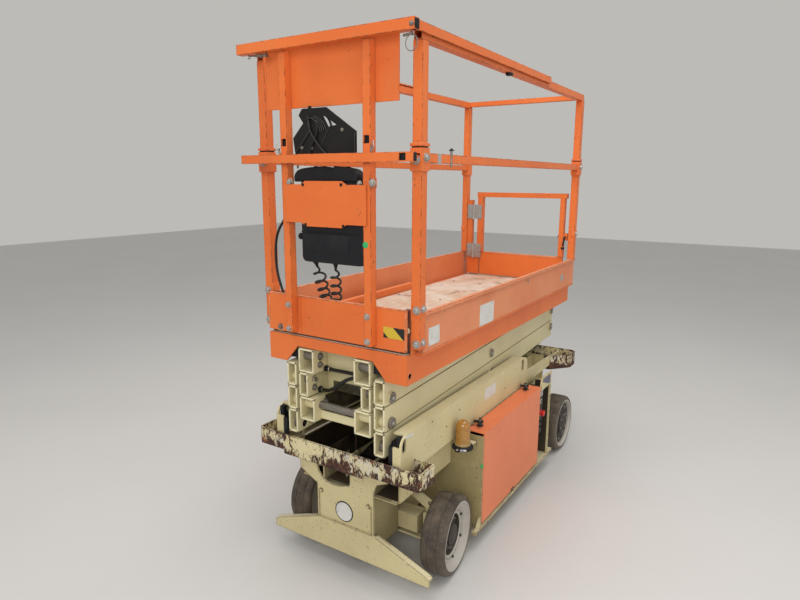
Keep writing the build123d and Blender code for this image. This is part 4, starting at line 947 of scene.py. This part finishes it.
# cables, strap and bright edges on the console's front plate; the bright edges are thin grey lines painted as
# highlights
e.tube(smooth_line([(896, -72, 1756), (899, -66, 1730), (898.5, -58, 1700), (899, -26, 1658), (898, 6, 1626), (897, 12, 1610)], 6), 3.8, "rubber", 10)
e.tube(smooth_line([(896, -84, 1744), (900, -54, 1746), (899, -30, 1728), (898, -34, 1690), (898.5, -60, 1650), (897, -66, 1610)], 6), 3.0, "rubber", 10)
for k in range(4):
    e.tube(smooth_line([(895, -54 + 3 * k, 1744 + 3 * k), (898 + 0.4 * k, -34 + 3 * k, 1730 + 6 * k), (896, -22 + 6 * k, 1716 + 5 * k), (895, -20 + 9 * k, 1700 + 3 * k)], 4), 1.1, "wire", 8)
e.prism([(-137, 1640), (-126, 1632), (-58, 1706), (-66, 1716)], "x", 893.2, 895.6, "black_metal", 0.5, 1)
# thin grey lines along edges: painted highlights
for line in ([(-128, 1640), (-100, 1668), (-64, 1708)], [(20, 1714), (2, 1684), (-18, 1652)], [(-110, 1632), (-92, 1654)], [(126, 1606), (126, 1694)]):
    e.tube([(894.2 if line[0][0] > -120 else 896.0, y, z) for y, z in line], 0.9, "wire", 8)
for y, z in ((-104, 1650), (-60, 1648), (74, 1704)):
    e.lathe([(6.2, 893), (6.2, 894.6), (3.6, 895.4), (3.4, 897.4), (0, 897.6)], (0, y, z), FRONT, "steel_dull", 20)

# dark insides of the posts' and rail's square holes
for y in (-180, 180):
    e.block((874, 896), (y - 11.6, y + 11.6), (1655, 1684), "black", 1.0)
e.block((908, 922), (320, 344), (1600, 1624), "black", 1.0)
# end plugs of the cross rails and hand rails
for s_ in (-1, 1):
    e.block((899.5, 924.5), (min(s_ * 369, s_ * 373), max(s_ * 369, s_ * 373)), (1977.5, 2006.5), "black", 1.4)
    e.block((907.5, 924.8), (min(s_ * 369, s_ * 373), max(s_ * 369, s_ * 373)), (1599.3, 1624.7), "black", 1.4)
    e.block((-313.5, -309), (min(s_ * 327, s_ * 361), max(s_ * 327, s_ * 361)), (1983, 2007), "orange_rails", 1.0)
# dark straps by the top corner
e.block((903, 921), (358, 369), (1974, 2010), "black_metal", 1.6)
e.bolt((927, 384 - 22, 1990), FRONT, "steel_dull", 10, 4, True)
# lock pins with their wire clips
for y, z, r in ((354, 1940, 20.5),):
    ring = [(914, y + r * math.sin(t), z + r * math.cos(t) * 1.12) for t in [2 * math.pi * k / 28 + 0.2 for k in range(28)]]
    e.tube(ring, 1.5, "steel_dull", 8)
    e.lathe([(4, -12), (4, 16), (6, 16), (6, 20), (0, 20)], (914, y - 16, z + 24), (0, 1, 0.1), "steel_dull", 20)
e.tube(smooth_line([(912, -329, 1964), (912, -322, 1960), (912, -318, 1966), (912, -322, 1972), (912, -328, 1970), (912, -318, 1968), (912, -290, 1966), (912, -254, 1958)], 5), 1.6, "steel_dull", 8)
e.lathe([(4.5, -30), (4.5, 20), (7, 20), (7, 26), (0, 26)], (912, -262, 1966), (0, 1, -0.06), "steel_dull", 20)
# clips where the bars enter the mid rails
for s_ in (-1, 1):
    y = s_ * 200
    e.tube(smooth_line([(905, y + s_ * 8, 1666), (909, y + s_ * 13, 1650), (907, y + s_ * 5, 1636), (904, y - s_ * 2, 1630), (902, y - s_ * 4, 1644), (904, y + s_ * 4, 1660), (905, y + s_ * 8, 1666)], 5), 1.4, "steel", 8)
    e.lathe([(3.4, -10), (3.4, 12), (5, 12), (5, 15), (0, 15)], (904, y, 1634), (0, s_ * 0.3, 1), "steel_dull", 16)
e.done("extension_fittings", "extension", "steel")

# wood sheet on the extension deck
b = Piece()
rim = []
for k in range(60):
    rim.append((855 - 0.0 + 1.2 * math.sin(2.1 * k) + 0.8 * math.sin(5.3 * k), -258 + 516 * k / 59))
for k in range(40):
    rim.append((855 - 1090 * (k + 1) / 41, 258 + 0.7 * math.sin(1.9 * k)))
for k in range(60):
    rim.append((-236 + 0.8 * math.sin(1.7 * k), 258 - 516 * k / 59))
for k in range(40):
    rim.append((-236 + 1090 * (k + 1) / 41, -258 + 0.7 * math.sin(2.3 * k)))
b.prism(rim, "z", 971.1, 980.5, "plywood", 0.8, 1)
for x in (-190, 60, 310, 560, 800):
    for y in (-235, 0, 235):
        b.lathe([(6.5, 980.4), (6.5, 981.2), (5.2, 982.2), (1.5, 982.6), (0, 981.6)], (x, y, 0), (0, 0, 1), "steel_dull", 20)
b.done("extension_plywood", "extension", "deck_board")

# platform: post bolts, pins, labels
pl = Piece()
for s_ in (-1, 1):
    m = None if s_ > 0 else Matrix.Scale(-1, 4, (0, 1, 0))
    for z in (1114, 997):
        pl.bolt((846, 340, z), FRONT, "steel", 19, 9, True, 0.35, m)
        pl.bolt((828, 354, z + 4), LEFT, "steel", 17, 8, True, 0.1, m)
        pl.block((806, 846.6), (317.6, 321), (z - 40, z + 28), "orange", 1.0, 2, m)
    # rubber rings and pins of the sleeves
    for px in (828.5, -869.5):
        pl.block((px - 19.5, px + 19.5), (317, 356), (1642.2, 1646), "black", 1.0, 2, m)
        pl.block((px - 24, px + 24), (312.5, 360.5), (1646.5, 1657), "orange_rails", 2.0, 2, m)
        pl.bolt((px, 359.5, 1612), LEFT, "steel", 19, 8, True, 0.3, m)
        pl.bolt((px + (23 if px > 0 else -23), 337, 1604), FRONT if px > 0 else BACK, "steel", 19, 8, True, 0.7, m)
    pl.tube([(643, 352, 1640), (643, 352, 1585)], 4.0, "steel_dull", 12, m)
    pl.lathe([(9, 0), (9, 3), (5, 4), (4, 8), (0, 8.4)], (643, 352, 1640), UP, "black", 24, None, m)
    pl.block((716, 738), (320, 353.4), (1595.6, 1628.4), "label_grey", 0.6, 1, m)
    # clip under the top rail
    pl.block((146, 170), (338, 362), (1952, 1963.5), "black_metal", 1.5, 2, m)
    # blank plates on the side toe boards
    pl.block((693, 772), (344.8, 346.0), (973, 1038), "label_white", 0.3, 1, m)
    pl.block((220, 356), (344.8, 346.0), (957, 1045), "label_white", 0.3, 1, m)
    for x in (697, 768):
        for z in (978, 1033):
            pl.lathe([(2.6, 346), (2.6, 346.8), (0, 347.4)], (x, 0, z), LEFT, "steel", 12, None, m)
    # small wire clip on the lip, folded over
    pl.tube(smooth_line([(-160, 349, 1092), (-158, 356, 1080), (-150, 357, 1070), (-146, 352, 1082)], 4), 1.6, "steel_dull", 8, m)
    pl.block((-720, -676), (344.8, 345.9), (1000, 1034), "label_grey", 0.3, 1, m)
    # post foot clamps
    pl.block((-890, -849), (334, 356.5), (1228, 1262), "orange_rails", 2.0, 2, m)
    pl.bolt((-869.5, 356, 1245), LEFT, "steel", 15, 7, True, 0.2, m)
    # folded inner side of the toe board's corner, in dark orange as painted shade, with its roller
    pl.block((830, 845.8), (292.6, 317.4), (965, 1112), "orange_painted_shade", 0.8, 1, m)
    pl.lathe([(10, 846), (10.6, 847), (10.6, 852), (9, 853.4), (5, 853.6), (4, 852.8), (0, 852.8)], (0, 305, 1040), FRONT, "label_yellow", 32, None, m)
    # edge of the hook hole
    pl.lathe([(12.5, 317.9), (12.5, 319), (11, 320), (9.2, 320), (9.0, 317.9)], (852, 0, 883), LEFT, "orange_lip", 32, None, m)
# bolts of the rear cross rail and hinge leaves
for hz in (1112.0, 1350.0):
    for dz in (-28, 0, 28):
        pl.lathe([(4.6, 0), (4.6, 1), (3.4, 2.4), (0, 2.8)], (-856.6, -303, hz + dz), FRONT, "steel", 16)
for y in (-250, -84, 84, 250):
    for x in (-850, -560, -270):
        pl.lathe([(8, 959.9), (8, 961), (6.4, 962.4), (2, 962.8), (0, 961.4)], (x, y, 0), UP, "steel_dull", 20)
pl.done("platform_fittings", "platform", "steel")

g = Piece()
for hz in (1112.0, 1350.0):
    for dz in (-28, 0, 28):
        g.lathe([(4.6, 0), (4.6, 1), (3.4, 2.4), (0, 2.8)], (-853.6, -240, hz + dz), FRONT, "steel", 16)
    g.lathe([(7.6, hz - 45), (7.6, hz - 41), (6.2, hz - 40)], (-852, -274, 0), UP, "steel", 24)
    g.lathe([(6.2, hz + 40), (7.6, hz + 41), (7.6, hz + 45), (0, hz + 46)], (-852, -274, 0), UP, "steel", 24)
g.block((-878, -862), (255, 272), (1216, 1234), "steel_dull", 1.5)
g.tube(smooth_line([(-860, 300, 1225), (-846, 302, 1222), (-838, 300, 1204), (-836, 296, 1176)], 5), 5.0, "black_metal", 14)
g.lathe([(9, 0), (10, 3), (10, 10), (7, 13), (0, 14)], (-836, 296, 1168), (0, 0, -1), "black", 24)
for y0, y1 in ((-190, 250),):
    g.block((-873.6, -864), (y0, y1), (1098, 1108.6), "orange_lip", 1.4)
g.done("gate_fittings", "gate", "steel")

# ---------------------------------------------------------------- chassis fittings
c = Piece()
for s_ in (-1, 1):
    m = None if s_ > 0 else Matrix.Scale(-1, 4, (0, 1, 0))
    # black pads at the rails' front ends
    c.block((839, 861), (272, 288.5), (583, 649), "black", 2.0, 2, m)
    c.block((858, 870.5), (243, 261.5), (512, 606), "black", 2.0, 2, m)
    # blank labels on the rail
    c.prism([(786, 636), (846, 644), (846, 652), (786, 646)], "y", 297, 297.8, "label_white", 0.2, 1, m)
    c.block((52, 172), (296.9, 297.8), (572, 622), "label_white", 0.2, 1, m)
    c.block((-300, -292), (296.9, 299.2), (588, 644), "cream_worn", 0.8, 1, m)
    # small plugs and dents
    for x, z in ((650, 640), (534, 578), (420, 612), (-60, 560)):
        c.lathe([(3.4, 297), (3.4, 298), (2.4, 298.6), (0, 298.6)], (x, 0, z), LEFT, "rust", 14, None, m)
    # header label
    c.prism([(-474, 488), (-470, 536), (-360, 536), (-352, 520), (-452, 486)], "y", 385, 385.8, "label_dark", 0.2, 1, m)
    # lip of the compartment and its sill catch
    c.block((-6, 34), (384, 387), (62, 78), "cream_worn", 1.4, 2, m)
    c.block((364, 372), (378, 386.4), (352, 368), "label_green", 0.5, 1, m)
    for x, z in ((367, 346), (380, 209), (382, 300)):
        c.lathe([(2.6, 370), (2.6, 371.4), (0, 371.8)], (0, x if False else 360, z), FRONT, "rust", 12, None, m)
    for x in (-520, -300, 60, 300, 395):
        c.bolt((x, 385, 68), LEFT, "steel_dull", 8, 3, False, 0.1, m)
    # king-pin caps of the steering
    c.lathe([(19, 236), (19, 240), (16, 243), (9, 244), (0, 244.4)], (579, 262, 0), UP, "steel_dull", 32, None, m)
    # welded corner gussets by the front tray
    c.prism([(800, 385.5), (874, 385.5), (880, 379)], "z", 545, 545.6, "cream_worn", 0.2, 1, m)
# round blank plate, bolts and welds on the front column
c.lathe([(44, 804), (44, 805.2), (42.5, 806), (0, 806)], (0, -13, 240), FRONT, "label_black", 64)
c.lathe([(39.5, 805.9), (38.9, 806.4), (0, 806.4)], (0, -13, 240), FRONT, "label_white", 64)
for y, z in ((-128, 130), (106, 130), (-128, 300), (106, 300), (-60, 178), (50, 178)):
    c.bolt((804, y, z), FRONT, "cream_worn", 13, 6, True, 0.3)
for s_ in (-1, 1):
    c.tube(smooth_line([(806, s_ * 130 - 10, 118), (807, s_ * 130 - 10, 160), (806, s_ * 130 - 10, 210), (807, s_ * 130 - 10, 300)], 8), 2.2, "cream_worn", 8)
# painted shade, with some oil in the well: dark sheets on the well's floor and walls and behind the ground controls
c.block((372, 780), (-228.6, 228.6), (346.2, 347.6), "dark_shade_fill", 0.3, 1)
for s_ in (-1, 1):
    m = None if s_ > 0 else Matrix.Scale(-1, 4, (0, 1, 0))
    c.block((372, 780), (227.4, 228.9), (348, 486), "dark_shade_fill", 0.3, 1, m)
    c.block((-479.4, -478.2), (300, 376), (80, 485), "dark_shade_fill", 0.3, 1, m)
c.done("chassis_fittings", "chassis", "cream_paint")

# ---------------------------------------------------------------- arms: centre bolts of the pins, nuts inside
PIN_F, PIN_R, PIN_Z0, PITCH = 831.0, -895.0, 587.0, 97.0
MID_X = (PIN_F + PIN_R) / 2
heads = {"outer_arms_1": [(MID_X, 0.5), (PIN_R, 1.0)], "outer_arms_2": [(MID_X, 1.5), (PIN_R, 2.0)], "outer_arms_3": [(MID_X, 2.5)], "inner_arms_2": [(PIN_F, 2.0)], "inner_arms_1": [(PIN_F, 1.0)]}
for body, rows in heads.items():
    a = Piece()
    for x, n in rows:
        z = PIN_Z0 + n * PITCH
        for s_ in (-1, 1):
            m = None if s_ > 0 else Matrix.Scale(-1, 4, (0, 1, 0))
            a.lathe([(21.4, 235.2), (21.4, 236.2), (19.5, 237.4), (9, 237.6), (7, 236.6), (0, 236.6)], (x, 0, z), LEFT, "steel_dull", 48, None, m)
            a.bolt((x, 236.4, z), LEFT, "steel", 13, 5, False, 0.2 * n, m)
            a.lathe([(3, 236), (3, 238.6), (0, 239)], (x + 15, 0, z), LEFT, "steel_dull", 12, None, m)
    a.done("pin_heads_" + body, body, "steel")
for stage, inner, out in ((1, 95.0, 168.0), (2, 126.0, 168.0), (3, 95.0, 168.0)):
    a = Piece()
    zc = PIN_Z0 + PITCH * stage - 14.0
    for s_ in (-1, 1):
        m = None if s_ > 0 else Matrix.Scale(-1, 4, (0, 1, 0))
        # nuts on the arm's inner face
        for dx, dz in ((6, 17), (7, -16)) if stage != 1 else ((-20, 22),):
            a.bolt((PIN_F + dx - 2, inner, zc + dz), RIGHT, "steel_dull", 17, 8, True, 0.3 * stage, m)
            a.lathe([(4.4, 10), (4.4, 15), (3.4, 16), (0, 16)], (PIN_F + dx - 2, inner, zc + dz), RIGHT, "steel_dull", 14, None, m)
        # pin seen in the open end
        a.tube([(PIN_F, inner + 6.5, zc + 14), (PIN_F, out - 6.5, zc + 14)], 22.4, "steel_dull" if stage != 1 else "cream_arms", 32, m)
        # lip of the tube's mouth, in lighter cream as painted highlight
        for z0, z1, y0, y1 in ((zc + 39.4, zc + 46.4, inner - 0.4, out + 0.4), (zc - 46.2, zc - 39.8, inner - 0.4, out + 0.4)):
            a.block((870, 874.4), (y0, y1), (z0 + 1.4, z1 + 1.4), "cream_lip_highlight", 1.0, 2, m)
        for y0, y1 in ((inner - 0.4, inner + 6.4), (out - 6.4, out + 0.4)):
            a.block((870, 874.4), (y0, y1), (zc - 42, zc + 47.4), "cream_lip_highlight", 1.0, 2, m)
    a.done("inner_arm_ends_%d" % stage, "inner_arms_%d" % stage, "cream_paint")
for stage in (1, 2, 3):
    a = Piece()
    zc = PIN_Z0 + PITCH * (stage - 1) + 23.0
    for s_ in (-1, 1):
        m = None if s_ > 0 else Matrix.Scale(-1, 4, (0, 1, 0))
        a.tube([(PIN_F, 189.5, zc - 23), (PIN_F, 221.5, zc - 23)], 22.4, "cream_arms" if stage > 1 else "steel_dull", 32, m)
        # lips of the tube's mouth, in lighter cream as painted highlight
        for z0, z1 in ((zc + 39.4, zc + 46.4), (zc - 46.4, zc - 40)):
            a.block((870, 874.4), (182.6, 228.4), (z0 - 1.5, z1 - 1.5), "cream_lip_highlight", 1.0, 2, m)
        for y0, y1 in ((182.6, 189.4), (221.6, 228.4)):
            a.block((870, 874.4), (y0, y1), (zc - 47.9, zc + 44.9), "cream_lip_highlight", 1.0, 2, m)
    a.done("outer_arm_ends_%d" % stage, "outer_arms_%d" % stage, "cream_paint")

# ---------------------------------------------------------------- floor and light
floor_mesh = bpy.data.meshes.new("studio_floor")
floor_mesh.from_pydata([(-14, -14, 0), (14, -14, 0), (14, 14, 0), (-14, 14, 0)], [], [(0, 1, 2, 3)])
floor = bpy.data.objects.new("studio_floor", floor_mesh)
bpy.context.scene.collection.objects.link(floor)
s = Shade("studio_floor")
floor_colour = s.mix(s.noise(0.8, 4), (0.62, 0.615, 0.61), (0.55, 0.545, 0.54))
floor.data.materials.append(s.finish(floor_colour, s.blend_values(s.noise(3.0, 4), 0.38, 0.55), 0.0, s.bump(s.noise(9.0, 5), 0.04, 0.002)))

world = bpy.data.worlds.new("studio")
bpy.context.scene.world = world
world.use_nodes = True
world.node_tree.nodes["Background"].inputs[0].default_value = (0.60, 0.585, 0.555, 1.0)
world.node_tree.nodes["Background"].inputs[1].default_value = 0.85


def area(name, place, target, size, energy, tint=(1, 1, 1)):
    data = bpy.data.lights.new(name, "AREA")
    data.shape = "RECTANGLE"
    data.size, data.size_y = size
    data.energy = energy
    data.color = tint
    o = bpy.data.objects.new(name, data)
    bpy.context.scene.collection.objects.link(o)
    o.location = place
    o.rotation_euler = (Vector(target) - Vector(place)).to_track_quat("-Z", "Y").to_euler()
    return o


area("ceiling_light", (0.6, 0.4, 4.6), (0, 0, 0.6), (4.5, 3.5), 150.0, (1.0, 0.985, 0.96))
area("front_light", (4.4, 1.6, 2.8), (0, 0, 1.0), (2.6, 2.2), 78.0, (1.0, 0.985, 0.96))
area("side_light", (1.2, 4.6, 1.5), (0, 0, 0.6), (3.4, 1.8), 24.0, (1.0, 0.985, 0.96))
bpy.context.scene.view_settings.view_transform = "Standard"
